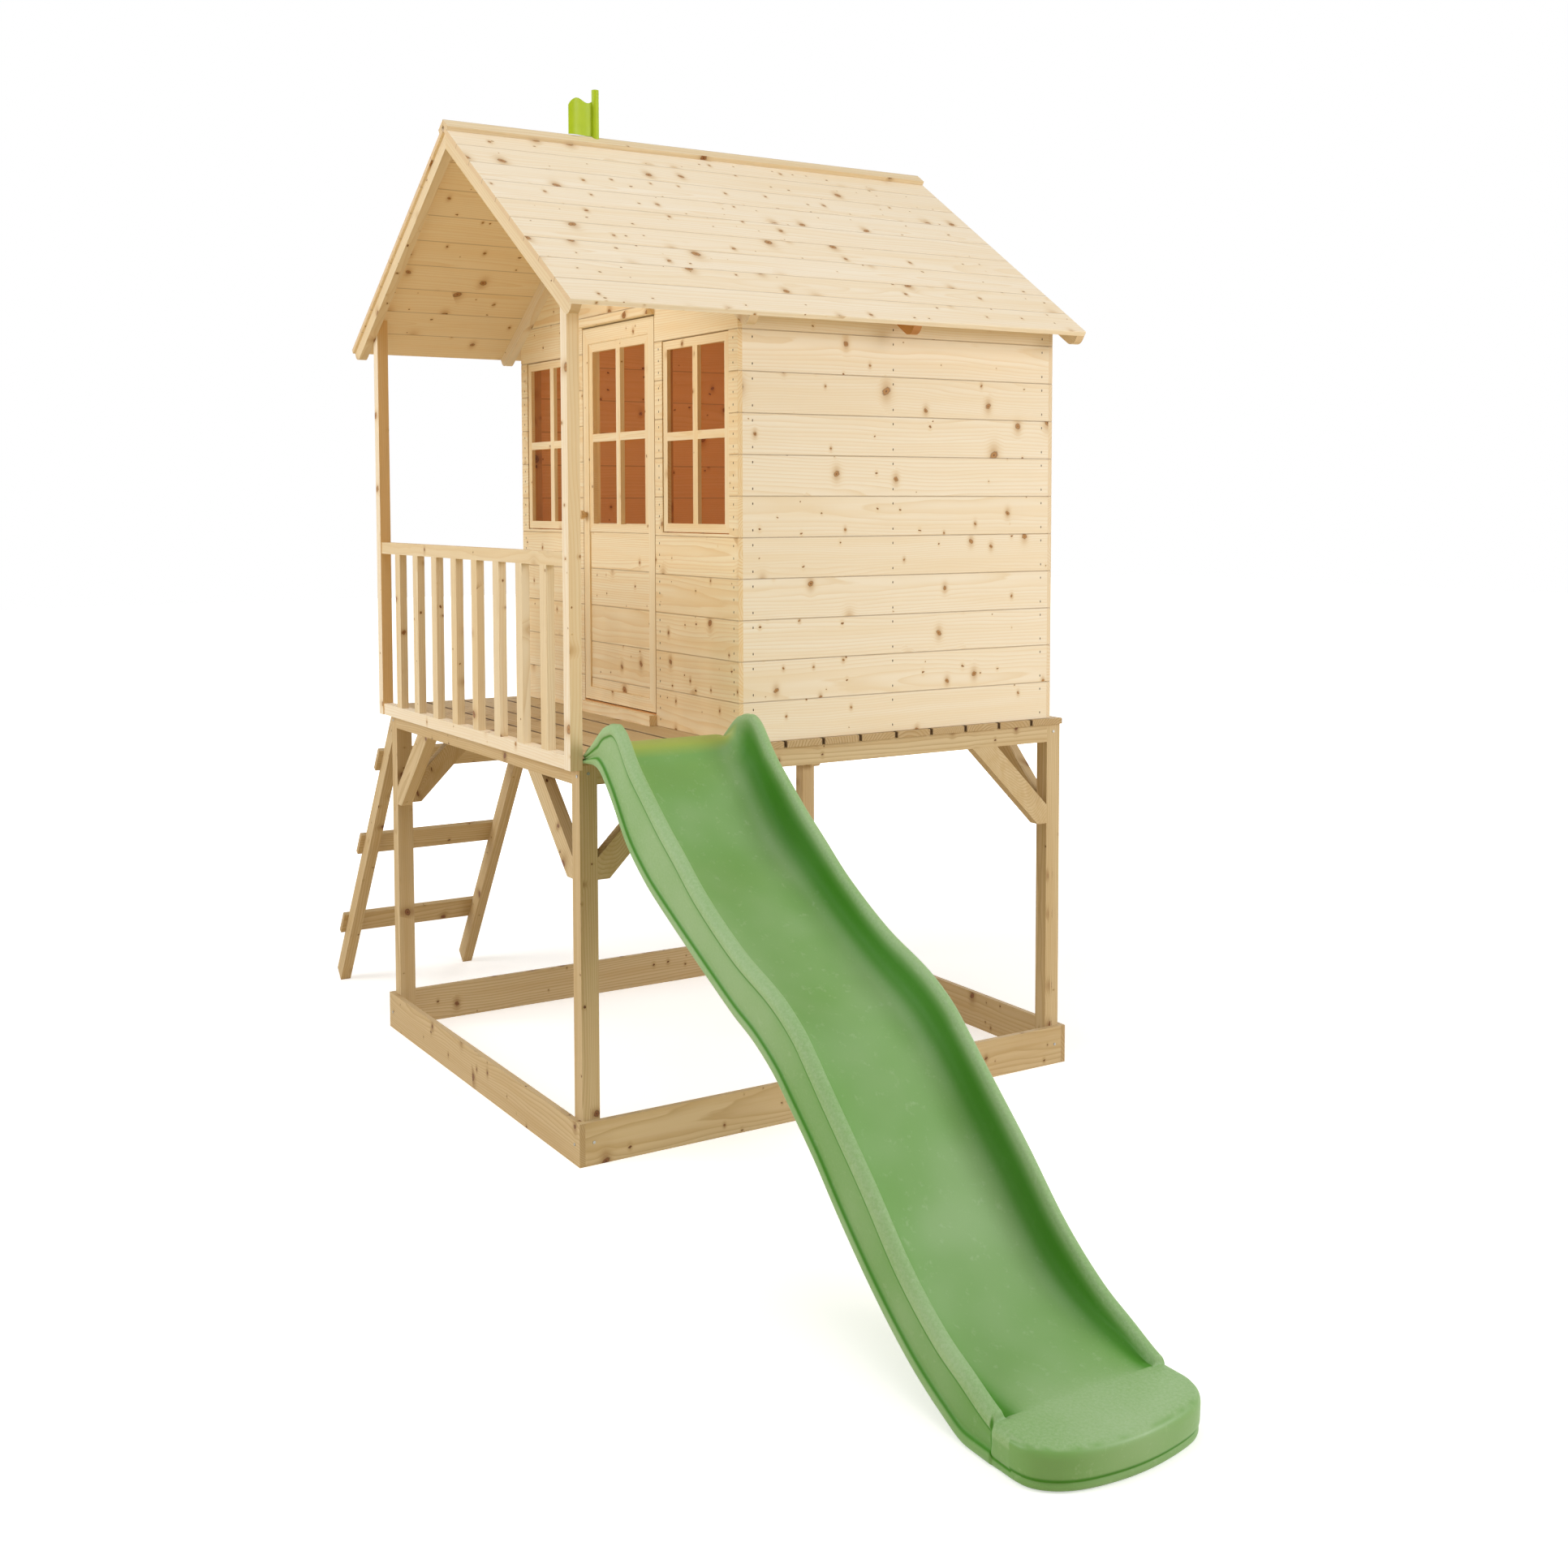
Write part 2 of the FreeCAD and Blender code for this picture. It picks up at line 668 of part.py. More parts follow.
def make_hinges():
    axis_x = door_right - door_gap / 2
    axis_y = house_front + wall_depth + hinge_barrel_radius + hinge_play
    knuckle = hinge_height / 3
    face = house_front + wall_depth
    leaf_back = face + hinge_leaf_thickness
    door_side = []
    jamb_side = []
    for level in (door_bottom + hinge_inset, door_top - hinge_inset - hinge_height):
        foot = point(axis_x, axis_y, level)
        middle = foot + upwards * knuckle
        upper = foot + upwards * (2 * knuckle)
        clear_radius = hinge_barrel_radius + hinge_play
        door_room = Part.makeCylinder(clear_radius, knuckle + 2 * hinge_play, middle - upwards * hinge_play)
        jamb_room_low = Part.makeCylinder(clear_radius, knuckle + hinge_play, foot)
        jamb_room_high = Part.makeCylinder(clear_radius, knuckle + hinge_play, upper - upwards * hinge_play)

        door_leaf = block(axis_x - hinge_leaf_width, axis_x - hinge_play, face, leaf_back,
                          level, level + hinge_height)
        door_web = block(axis_x - hinge_barrel_radius, axis_x - hinge_play, face, axis_y,
                         middle.z + hinge_play, upper.z - hinge_play)
        barrel_length = knuckle - 2 * hinge_play
        door_barrel = Part.makeCylinder(hinge_barrel_radius, barrel_length, middle + upwards * hinge_play)
        bore = Part.makeCylinder(hinge_pin_radius + hinge_pin_clearance, hinge_height, foot)
        door_leaf = door_leaf.cut(jamb_room_low).cut(jamb_room_high)
        door_side.append(door_leaf.fuse([door_web, door_barrel]).cut(bore).removeSplitter())

        jamb_leaf = block(axis_x + hinge_play, axis_x + hinge_leaf_width, face, leaf_back,
                          level, level + hinge_height)
        pieces = [Part.makeCylinder(hinge_pin_radius, hinge_height, foot)]
        for start in (foot, upper):
            pieces.append(Part.makeCylinder(hinge_barrel_radius, knuckle, start))
            pieces.append(block(axis_x + hinge_play, axis_x + hinge_barrel_radius, face, axis_y,
                                start.z, start.z + knuckle))
        jamb_side.append(jamb_leaf.cut(door_room).fuse(pieces).removeSplitter())
    place(door_side, "door_hinges")
    place(jamb_side, "jamb_hinges")


def make_roof():
    middle_rafter_y = house_front + middle_rafter_from_front - rafter_thickness / 2
    front_rafter_y = -veranda_post_depth - rafter_thickness
    pairs = {
        "front_rafters": front_rafter_y,
        "wall_rafters": house_front - rafter_thickness,
        "middle_rafters": middle_rafter_y,
        "back_rafters": house_back,
    }
    cleat_half = ridge_cleat_drop / pitch_tan
    cleat_bottom = roof_apex - ridge_cleat_drop
    cleat = prism([
        point(house_centre - cleat_half, -veranda_post_depth, cleat_bottom),
        point(house_centre + cleat_half, -veranda_post_depth, cleat_bottom),
        point(house_centre, -veranda_post_depth, roof_apex),
    ], to_back * ridge_cleat_thickness)
    for node, y_low in pairs.items():
        pieces = [rafter(-1, y_low), rafter(1, y_low)]
        if node == "front_rafters":
            pieces.append(cleat)
        place_wood(pieces, node)

    length = roof_back - roof_front
    apex = point(house_centre, roof_front, roof_apex)
    cap_apex = apex + upwards * (board_thickness / pitch_cos)
    caps = []
    for node, side in (("roof_boards_left", -1), ("roof_boards_right", 1)):
        down = point(side * pitch_cos, 0, -pitch_sin)
        out = point(side * pitch_sin, 0, pitch_cos)
        boards = []
        for row in range(roof_board_count):
            start = apex + down * (row * roof_board_cover)
            boards.append(plank(start, to_back, down, out, length, roof_board_cover, board_thickness))
        place(boards, node)
        mitre = ridge_cap_thickness * pitch_tan
        cap = [
            cap_apex,
            cap_apex + down * ridge_cap_width,
            cap_apex + down * ridge_cap_width + out * ridge_cap_thickness,
            cap_apex - down * mitre + out * ridge_cap_thickness,
        ]
        caps.append(prism(cap, to_back * length))
    place(caps, "ridge_cap")


def make_flag():
    cap_top = roof_apex + (board_thickness + ridge_cap_thickness) / pitch_cos
    pole_y = house_front + flag_from_house_front
    pole_foot = cap_top - flag_pole_radius
    pole = Part.makeCylinder(flag_pole_radius, cap_top + flag_pole_height - pole_foot,
                             point(house_centre, pole_y, pole_foot))
    roof_body = below_roof(board_thickness + ridge_cap_thickness, roof_front, roof_back)
    pole = pole.cut(roof_body)

    free_edge = pole_y - flag_pole_radius - flag_length
    wave_shares = ((0, 0), (0.25, 0.8), (0.5, 0), (0.75, -0.8), (1, 0))
    near_side = []
    far_side = []
    for length_share, wave_share in wave_shares:
        y = free_edge + (pole_y - free_edge) * length_share
        x = house_centre + wave_share * flag_wave
        near_side.append(point(x + flag_thickness / 2, y, cap_top + flag_bottom_gap))
        far_side.append(point(x - flag_thickness / 2, y, cap_top + flag_bottom_gap))
    near_curve = Part.BSplineCurve()
    near_curve.interpolate(near_side)
    far_curve = Part.BSplineCurve()
    far_curve.interpolate(far_side)
    sheet = Part.Wire([
        near_curve.toShape(),
        Part.makeLine(near_side[-1], far_side[-1]),
        far_curve.toShape(),
        Part.makeLine(far_side[0], near_side[0]),
    ])
    sheet = Part.Face(sheet).extrude(upwards * flag_height)

    top_shares = ((0, 0.66), (0.08, 0.91), (0.25, 1.0), (0.55, 0.94), (0.75, 0.91), (0.9, 0.965), (1, 1.0))
    low = cap_top + flag_bottom_gap
    crest = []
    for length_share, height_share in top_shares:
        y = free_edge + (pole_y - free_edge) * length_share
        crest.append(point(house_centre - overrun, y, low + flag_height * height_share))
    crest_curve = Part.BSplineCurve()
    crest_curve.interpolate(crest)
    foot_start = point(house_centre - overrun, free_edge, low)
    foot_end = point(house_centre - overrun, pole_y, low)
    outline = Part.Wire([
        Part.makeLine(foot_end, foot_start),
        Part.makeLine(foot_start, crest[0]),
        crest_curve.toShape(),
        Part.makeLine(crest[-1], foot_end),
    ])
    mask = Part.Face(outline).extrude(to_slide * (2 * overrun))
    place([pole.fuse(sheet.common(mask)).removeSplitter()], "flag")


# Slide outlines, as shares of the slide's reach and of the deck's height
rim_shares = (
    (0.0, 1.012), (0.0112, 1.024), (0.0505, 1.082), (0.0932, 1.102), (0.1126, 1.084),
    (0.1475, 1.017), (0.1824, 0.966), (0.2271, 0.904), (0.2707, 0.85), (0.329, 0.777),
    (0.4182, 0.692), (0.5041, 0.633), (0.5526, 0.587), (0.6152, 0.487), (0.6929, 0.361),
    (0.7584, 0.247), (0.819, 0.168), (0.8675, 0.126), (0.9, 0.092), (0.93, 0.08),
    (0.97, 0.075), (0.99, 0.064), (1.0, 0.044),
)
underside_shares = (
    (0.0, 0.989), (0.0364, 0.989), (0.0568, 0.974), (0.0864, 0.9235), (0.1339, 0.826),
    (0.1805, 0.762), (0.2169, 0.724), (0.3144, 0.636), (0.4119, 0.552), (0.4595, 0.518),
    (0.5051, 0.472), (0.5405, 0.422), (0.592, 0.345), (0.6327, 0.2756), (0.6725, 0.212),
    (0.7108, 0.1555), (0.7482, 0.106), (0.7841, 0.065), (0.829, 0.025), (0.8675, 0.0),
)
floor_shares = (
    (0.0, 1.0126), (0.0184, 1.022), (0.0524, 1.024), (0.0864, 1.004), (0.1155, 0.958),
    (0.1494, 0.891), (0.198, 0.811), (0.2707, 0.735), (0.3484, 0.66), (0.4212, 0.597),
    (0.4988, 0.535), (0.5425, 0.483), (0.5861, 0.416), (0.6298, 0.34), (0.6735, 0.269),
    (0.722, 0.189), (0.7705, 0.13), (0.819, 0.0966), (0.8675, 0.08), (0.9, 0.0765),
    (0.94, 0.0785), (0.97, 0.085),
)
slide_flat_end_share = 0.984
nose_plan_shares = (
    (0.95, 0.0), (0.979, 0.1), (0.996, 0.25), (1.0, 0.45), (0.994, 0.7), (0.979, 0.93), (0.95, 1.0),
)


def slide_points(shares):
    return [point(slide_back + slide_reach * run, 0, deck_top * rise) for run, rise in shares]


def curve_through(places):
    curve = Part.BSplineCurve()
    curve.interpolate(places)
    return curve.toShape()


def channel():
    """The room above the slide's floor, between its rims."""
    floor = slide_points(floor_shares)
    top = deck_top + deck_top / 2
    far = point(floor[-1].x, 0, top)
    near = point(slide_back - overrun, 0, top)
    near_floor = point(slide_back - overrun, 0, floor[0].z)
    edges = [
        curve_through(floor),
        Part.makeLine(floor[-1], far),
        Part.makeLine(far, near),
        Part.makeLine(near, near_floor),
        Part.makeLine(near_floor, floor[0]),
    ]
    room = Part.Face(Part.Wire(edges)).extrude(to_back * (slide_width - 2 * slide_rim_width))
    room.translate(point(0, slide_rim_width, 0))
    floor_edges = []
    for edge in room.Edges:
        box = edge.BoundBox
        level = box.ZLength < slide_floor_radius
        crosswise = box.YLength > slide_floor_radius
        if box.XLength > slide_reach / 2 and not level and not crosswise:
            floor_edges.append(edge)
    return room.makeFillet(slide_floor_radius, floor_edges)


def make_slide():
    rim = slide_points(rim_shares)
    underside = slide_points(underside_shares)
    flat_end = point(slide_back + slide_reach * slide_flat_end_share, 0, 0)
    outline = Part.Wire([
        curve_through(rim),
        Part.makeLine(rim[-1], flat_end),
        Part.makeLine(flat_end, underside[-1]),
        curve_through(underside),
        Part.makeLine(underside[0], rim[0]),
    ])
    body = Part.Face(outline).extrude(to_back * slide_width)
    body = body.cut(channel())

    nose = []
    for run, across in nose_plan_shares:
        nose.append(point(slide_back + slide_reach * run, slide_width * across, -overrun))
    near_corner = point(slide_back - overrun, 0, -overrun)
    far_corner = point(slide_back - overrun, slide_width, -overrun)
    plan = Part.Wire([
        Part.makeLine(near_corner, nose[0]),
        curve_through(nose),
        Part.makeLine(nose[-1], far_corner),
        Part.makeLine(far_corner, near_corner),
    ])
    body = body.common(Part.Face(plan).extrude(upwards * (2 * deck_top)))

    lip = block(slide_back - deck_overhang_slide - slide_lip_reach, slide_back + slide_lip_thickness,
                slide_rim_width, slide_width - slide_rim_width, deck_top, deck_top + slide_lip_thickness)
    body = body.fuse(lip).removeSplitter()
    place_wood([body], "slide")
    place([screw_solid(head, direction) for head, direction in slide_screw_places], "slide_screws")
    frame_places = [entry for entry in screw_places if entry not in slide_screw_places]
    place([screw_solid(head, direction) for head, direction in frame_places], "frame_screws")


make_base()
make_stilts()
make_beams()
make_braces()
make_deck()
make_ladder()
make_veranda()
make_walls()
make_doorway()
make_windows()
make_door()
make_hinges()
make_roof()
make_flag()
make_slide()
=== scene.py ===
import math

import bpy
from mathutils import Matrix, Vector


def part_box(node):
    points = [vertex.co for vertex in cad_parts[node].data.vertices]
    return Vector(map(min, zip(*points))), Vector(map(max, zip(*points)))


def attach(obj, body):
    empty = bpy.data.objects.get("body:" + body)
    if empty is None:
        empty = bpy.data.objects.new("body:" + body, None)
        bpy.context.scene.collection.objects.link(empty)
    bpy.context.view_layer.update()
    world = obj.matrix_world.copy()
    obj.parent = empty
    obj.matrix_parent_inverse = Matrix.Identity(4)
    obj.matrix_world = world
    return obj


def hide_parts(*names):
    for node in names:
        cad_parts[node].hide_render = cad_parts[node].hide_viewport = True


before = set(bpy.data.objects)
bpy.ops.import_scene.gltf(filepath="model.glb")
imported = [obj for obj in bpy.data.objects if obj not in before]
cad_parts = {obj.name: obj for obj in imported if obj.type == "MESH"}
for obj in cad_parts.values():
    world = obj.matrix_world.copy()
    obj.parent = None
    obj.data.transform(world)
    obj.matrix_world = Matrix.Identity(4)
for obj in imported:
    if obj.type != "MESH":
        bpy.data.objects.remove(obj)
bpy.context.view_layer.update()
bpy.ops.object.select_all(action="DESELECT")
scene = bpy.context.scene
print("stilt playhouse: frame loaded,", len(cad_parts), "pieces")


def colour(red, green, blue):
    # a paint colour in 0-255 steps, as the shader wants it
    def linear(step):
        share = step / 255
        return share / 12.92 if share <= 0.04045 else ((share + 0.055) / 1.055) ** 2.4
    return (linear(red), linear(green), linear(blue), 1)


def feed(socket, value):
    # links the socket to another socket's value, or sets it to a plain value
    if isinstance(value, bpy.types.NodeSocket):
        socket.id_data.links.new(value, socket)
    else:
        socket.default_value = value


def feedAll(inputs, values):
    for label, value in values.items():
        feed(inputs[label], value)


def newNode(kind, values=(), tree=None, group=None):
    # a node with its inputs fed, in the tree that its values come from
    values = dict(values)
    if tree is None:
        tree = next(value.id_data for value in values.values() if isinstance(value, bpy.types.NodeSocket))
    node = tree.nodes.new("ShaderNode" + kind)
    if group:
        node.node_tree = group
    feedAll(node.inputs, values)
    return node


def placeGroup(group, values):
    return newNode("Group", values, group=group).outputs


def maths(operation, *values, clamp=False):
    node = newNode("Math", enumerate(values))
    node.operation = operation
    node.use_clamp = clamp
    return node.outputs[0]


def times(*values, clamp=False):
    # the product of all values; only the last step is clamped
    product = values[0]
    for value in values[1:-1]:
        product = maths("MULTIPLY", product, value)
    return maths("MULTIPLY", product, values[-1], clamp=clamp)


def plus(first, second):
    return maths("ADD", first, second)


def minus(first, second):
    return maths("SUBTRACT", first, second)


def over(first, second):
    return maths("DIVIDE", first, second)


def size2d(first, second):
    return maths("SQRT", plus(times(first, first), times(second, second)))


def blendColours(amount, first, second, kind="MIX"):
    node = newNode("Mix", {"Factor": amount, 6: first, 7: second})
    node.data_type = "RGBA"
    node.blend_type = kind
    return node.outputs[2]


def layered(base, layers):
    # paints each layer over the ones before it
    for amount, shade in layers:
        base = blendColours(amount, base, shade)
    return base


def ramp(value, low, high, lowResult=0.0, highResult=1.0):
    # smooth step from lowResult to highResult
    node = newNode("MapRange", {"Value": value, "From Min": low, "From Max": high,
                                "To Min": lowResult, "To Max": highResult})
    node.interpolation_type = "SMOOTHSTEP"
    return node.outputs[0]


def splitVector(vector):
    return tuple(newNode("SeparateXYZ", {0: vector}).outputs)


def joinVector(x, y, z):
    return newNode("CombineXYZ", {0: x, 1: y, 2: z}).outputs[0]


def noise(vector, scale, detail=2.0, rough=0.5):
    return newNode("TexNoise", {"Vector": vector, "Scale": scale, "Detail": detail,
                                "Roughness": rough}).outputs["Fac"]


def newGroup(name, inputs, outputs, draw):
    # a shader node group: None stands for a Vector input, four numbers for a Color and one for a Float
    tree = bpy.data.node_groups.new(name, "ShaderNodeTree")
    for label, value in inputs.items():
        kind = "Vector" if value is None else "Color" if isinstance(value, tuple) else "Float"
        socket = tree.interface.new_socket(name=label, in_out="INPUT", socket_type="NodeSocket" + kind)
        if value is not None:
            socket.default_value = value
    for label, kind in outputs.items():
        tree.interface.new_socket(name=label, in_out="OUTPUT", socket_type="NodeSocket" + kind)
    drawn = draw(tree.nodes.new("NodeGroupInput").outputs)
    feedAll(tree.nodes.new("NodeGroupOutput").inputs, drawn)
    return tree


def newMaterial(name):
    # a material, the inputs of its shader and the coordinates of its object
    material = bpy.data.materials.new(name)
    material.use_nodes = True
    tree = material.node_tree
    return material, tree.nodes["Principled BSDF"].inputs, newNode("TexCoord", tree=tree).outputs


def addBump(shader, height, strength, distance):
    bump = newNode("Bump", {"Strength": strength, "Distance": distance, "Height": height})
    feed(shader["Normal"], bump.outputs["Normal"])


# boardRows: which board of a row a point is on, and where it lies on that board
rowLook = {"boardShift": 37.0, "seamFull": 0.0009, "seamGone": 0.0028}


def drawBoardRows(given):
    x, y, z = splitVector(given["Vector"])
    row = maths("FLOOR", over(y, given["Cover"]))
    across = minus(y, times(plus(row, 0.5), given["Cover"]))
    dice = newNode("TexWhiteNoise", {"Vector": joinVector(row, given["Piece"], 0.0)})
    dice.noise_dimensions = "2D"
    along = plus(x, times(dice.outputs["Value"], rowLook["boardShift"]))
    edge = minus(minus(times(given["Cover"], 0.5), maths("ABSOLUTE", across)), given["Gap"])
    return {
        "Vector": joinVector(along, across, z),
        "Tone": dice.outputs["Color"],
        "Seam": ramp(edge, rowLook["seamFull"], rowLook["seamGone"], 1.0, 0.0),
    }


boardRows = newGroup(
    "boardRows", {"Vector": None, "Cover": 1.0, "Piece": 0.0, "Gap": 0.0},
    {"Vector": "Vector", "Tone": "Color", "Seam": "Float"}, drawBoardRows,
)

# knots: round and oval knots with a dark ring, and the way the grain flows round them
knotLook = {
    "sizePower": 1.6, "lean": 1.1, "wobbleScale": 120.0, "wobble": 0.008, "coreFull": 0.75, "coreGone": 1.12,
    "ringAt": 0.95, "ringSharpness": 6.0, "haloLong": 2.2, "haloWide": 3.6, "grainFlow": -0.75,
}


def drawKnots(given):
    look = knotLook
    cells = newNode("TexVoronoi", {"Vector": given["Vector"], "Scale": over(1.0, given["Spacing"])})
    cells.voronoi_dimensions = "2D"
    here = splitVector(given["Vector"])
    centre = splitVector(cells.outputs["Position"])
    chance = splitVector(cells.outputs["Color"])
    away = minus(here[0], centre[0])
    aside = minus(here[1], centre[1])
    there = maths("LESS_THAN", chance[0], given["Share"])
    spread = minus(given["Largest"], given["Smallest"])
    size = plus(given["Smallest"], times(maths("POWER", chance[1], look["sizePower"]), spread))
    tilt = times(minus(chance[2], 0.5), look["lean"])
    reach = size2d(over(plus(away, times(aside, tilt)), given["Stretch"]), aside)
    wobble = minus(noise(given["Vector"], look["wobbleScale"], 3.0), 0.5)
    depth = over(plus(reach, times(wobble, look["wobble"])), size)
    core = times(ramp(depth, look["coreFull"], look["coreGone"], 1.0, 0.0), there)
    offRing = times(minus(depth, look["ringAt"]), look["ringSharpness"])
    ring = maths("EXPONENT", times(offRing, offRing, -1.0))
    farAway = over(away, times(size, look["haloLong"]))
    farAside = over(aside, times(size, look["haloWide"]))
    square = plus(times(farAway, farAway), times(farAside, farAside))
    halo = times(maths("EXPONENT", times(square, -1.0)), there)
    return {"Core": core, "Ring": times(ring, there), "Halo": halo, "Depth": depth,
            "Lift": times(aside, halo, look["grainFlow"])}


knots = newGroup(
    "knots",
    {"Vector": None, "Spacing": 0.13, "Share": 0.4, "Smallest": 0.003, "Largest": 0.013, "Stretch": 1.0},
    {"Core": "Float", "Ring": "Float", "Halo": "Float", "Lift": "Float", "Depth": "Float"}, drawKnots,
)

# timber: planed softwood with year rings, streaks and knots; grain runs along x, width along y
timberLook = {
    "endFacing": 0.75, "edgeShift": 3.1, "backShift": 1.7, "boardShift": 9.0,
    "big": {"Spacing": 0.13, "Smallest": 0.003, "Stretch": 1.1},
    "pin": {"Spacing": 0.075, "Smallest": 0.0012, "Stretch": 1.6, "Largest": 0.0038},
    "bigShare": 1.0, "pinShare": 0.55,
    "swing": 0.07, "shiver": 0.004, "pithAside": 0.22, "pithDepth": 0.015, "pithSpread": 0.11,
    "ringWidth": 0.0055, "ringSpread": 0.005, "lateSharpness": 3.0,
    "lateFade": (0.9, 1.0), "endGrain": 0.8, "streakWarmth": 0.5, "boardWarmth": 0.34, "leastCloud": 0.4,
    "streakEdges": (0.38, 0.68), "heartEdges": (0.12, 0.4), "endShade": 0.3,
    # how often each pattern repeats, along and across the grain
    "slow": (0.9, 5.0), "slowShift": 50.0, "quick": (7.0, 40.0), "streak": (1.1, 30.0), "cloud": (0.8, 4.0),
    "fibre": (30.0, 700.0),
    "haloShow": 0.75, "stainShow": 0.5, "rimShow": 0.55, "heartShow": 0.8,
    "rough": 0.58, "fibreRough": 0.14, "knotRough": 0.12,
    "ringRelief": -0.5, "fibreRelief": 0.6, "rimRelief": -0.8, "shine": 0.3, "bump": (0.25, 0.0006),
}


def drawTimber(given):
    look = timberLook
    rows = placeGroup(boardRows, {label: given[label] for label in ("Vector", "Cover", "Piece", "Gap")})
    x, y, z = splitVector(rows["Vector"])
    dice = splitVector(rows["Tone"])
    facing = splitVector(given["Normal"])
    onEdge = maths("GREATER_THAN", maths("ABSOLUTE", facing[1]), maths("ABSOLUTE", facing[2]))
    onEnd = maths("GREATER_THAN", maths("ABSOLUTE", facing[0]), look["endFacing"])
    onBack = maths("LESS_THAN", facing[2], 0.0)
    notEnd = minus(1.0, onEnd)
    faceShift = plus(times(onEdge, look["edgeShift"]), times(onBack, look["backShift"]))
    acrossFace = plus(y, times(minus(z, y), onEdge))
    flat = joinVector(plus(x, faceShift), plus(acrossFace, times(dice[1], look["boardShift"])), 0.0)
    big = placeGroup(knots, {"Vector": flat, "Share": times(given["Knots"], look["bigShare"]),
                             "Largest": given["Knot Size"], **look["big"]})
    pin = placeGroup(knots, {"Vector": flat, "Share": times(given["Knots"], look["pinShare"]), **look["pin"]})

    def stretched(name):
        along, across = look[name]
        return joinVector(times(x, along), times(y, across), times(z, across))

    # year rings: circles round a pith outside the board, bent by slow and quick waves and by the knots
    along, across = look["slow"]
    deep = plus(times(z, across), times(dice[1], look["slowShift"]))
    slow = joinVector(times(x, along), times(y, across), deep)
    swing = times(minus(noise(slow, 1.0), 0.5), look["swing"])
    shiver = times(minus(noise(stretched("quick"), 1.0), 0.5), look["shiver"])
    lifted = plus(y, plus(big["Lift"], pin["Lift"]))
    fromPithY = plus(lifted, times(minus(dice[1], 0.5), look["pithAside"]))
    fromPithZ = plus(z, plus(look["pithDepth"], times(dice[2], look["pithSpread"])))
    trunk = plus(size2d(fromPithY, fromPithZ), plus(swing, shiver))
    ringWidth = plus(look["ringWidth"], times(dice[0], look["ringSpread"]))
    year = maths("FRACT", over(trunk, ringWidth))
    late = times(maths("POWER", year, look["lateSharpness"]), ramp(year, *look["lateFade"], 1.0, 0.0))

    streak = ramp(noise(stretched("streak"), 1.0, 4.0, 0.6), *look["streakEdges"])
    along, across = look["cloud"]
    cloud = noise(joinVector(times(x, along), times(y, across), z), 1.0)
    fibre = noise(stretched("fibre"), 1.0, 1.0)
    warmth = plus(times(streak, look["streakWarmth"]), times(dice[2], look["boardWarmth"]))
    core = times(maths("MAXIMUM", big["Core"], pin["Core"]), notEnd)
    rim = times(plus(big["Ring"], pin["Core"]), times(notEnd, look["rimShow"]), clamp=True)
    heart = times(ramp(big["Depth"], *look["heartEdges"], 1.0, 0.0), times(big["Core"], look["heartShow"]))
    base = layered(given["Pale"], (
        (times(late, given["Grain"], plus(1.0, times(onEnd, look["endGrain"])), clamp=True), given["Late"]),
        (times(warmth, plus(cloud, look["leastCloud"]), clamp=True), given["Warm"]),
        (times(onEnd, given["End Tone"]), blendColours(look["endShade"], given["Late"], given["Knot"])),
        (times(plus(big["Halo"], pin["Halo"]), times(notEnd, look["haloShow"]), clamp=True), given["Late"]),
        (times(times(big["Halo"], big["Halo"]), times(notEnd, look["stainShow"]), clamp=True), given["Knot"]),
        (core, given["Knot"]),
        (rim, given["Dark"]),
        (times(heart, notEnd), given["Dark"]),
        (times(rows["Seam"], given["Seam"]), given["Dark"]),
    ))
    # painted shade: faces on the inner side are multiplied by the inner shade tint, a warm orange that stands
    # in for shade and bounced light
    inwards = times(facing[2], given["Inner Side"], clamp=True)
    rough = plus(look["rough"], times(fibre, look["fibreRough"]))
    relief = plus(times(late, look["ringRelief"]), times(fibre, look["fibreRelief"]))
    return {
        "Color": blendColours(inwards, base, given["Inner Tint"], "MULTIPLY"),
        "Roughness": minus(rough, times(core, look["knotRough"])),
        "Height": plus(relief, times(rim, look["rimRelief"])),
    }


# paint of one wood: the board, its late rings and warm streaks, and the middle and the rim of a knot
shades = ("Pale", "Late", "Warm", "Knot", "Dark")
black = (0, 0, 0, 1)
timber = newGroup(
    "timber",
    {"Vector": None, "Normal": None, "Cover": 1.0, "Piece": 0.0, "Knots": 0.4, "Knot Size": 0.0115,
     "Grain": 0.5, **dict.fromkeys(shades, black), "Seam": 0.5, "Inner Side": 0.0, "Inner Tint": black,
     "Gap": 0.0, "End Tone": 0.35},
    {"Color": "Color", "Roughness": "Float", "Height": "Float"}, drawTimber,
)
print("stilt playhouse: timber shaders ready")


# steps that give the members of one node different knots and rings
memberSteps = {"half": 2.3, "upright": 11.0, "inside": 23.0, "place": 2.9, "piece": 1.37}


# fold: both halves of a mirrored pair share one drawing; Corner also folds the second way
def drawFold(given):
    x, y, z = splitVector(given["Vector"])
    nx, ny, nz = splitVector(given["Normal"])
    fromX = minus(x, given["Middle X"])
    fromY = minus(y, given["Middle Y"])
    sideX = maths("SIGN", fromX)
    sideY = times(maths("SIGN", fromY), given["Corner"])
    run = plus(maths("ABSOLUTE", fromX), times(fromY, sideY))
    turned = plus(times(nx, sideX), times(ny, sideY))
    return {"Vector": joinVector(run, y, z), "Normal": joinVector(turned, ny, nz),
            "Side": times(sideX, memberSteps["half"])}


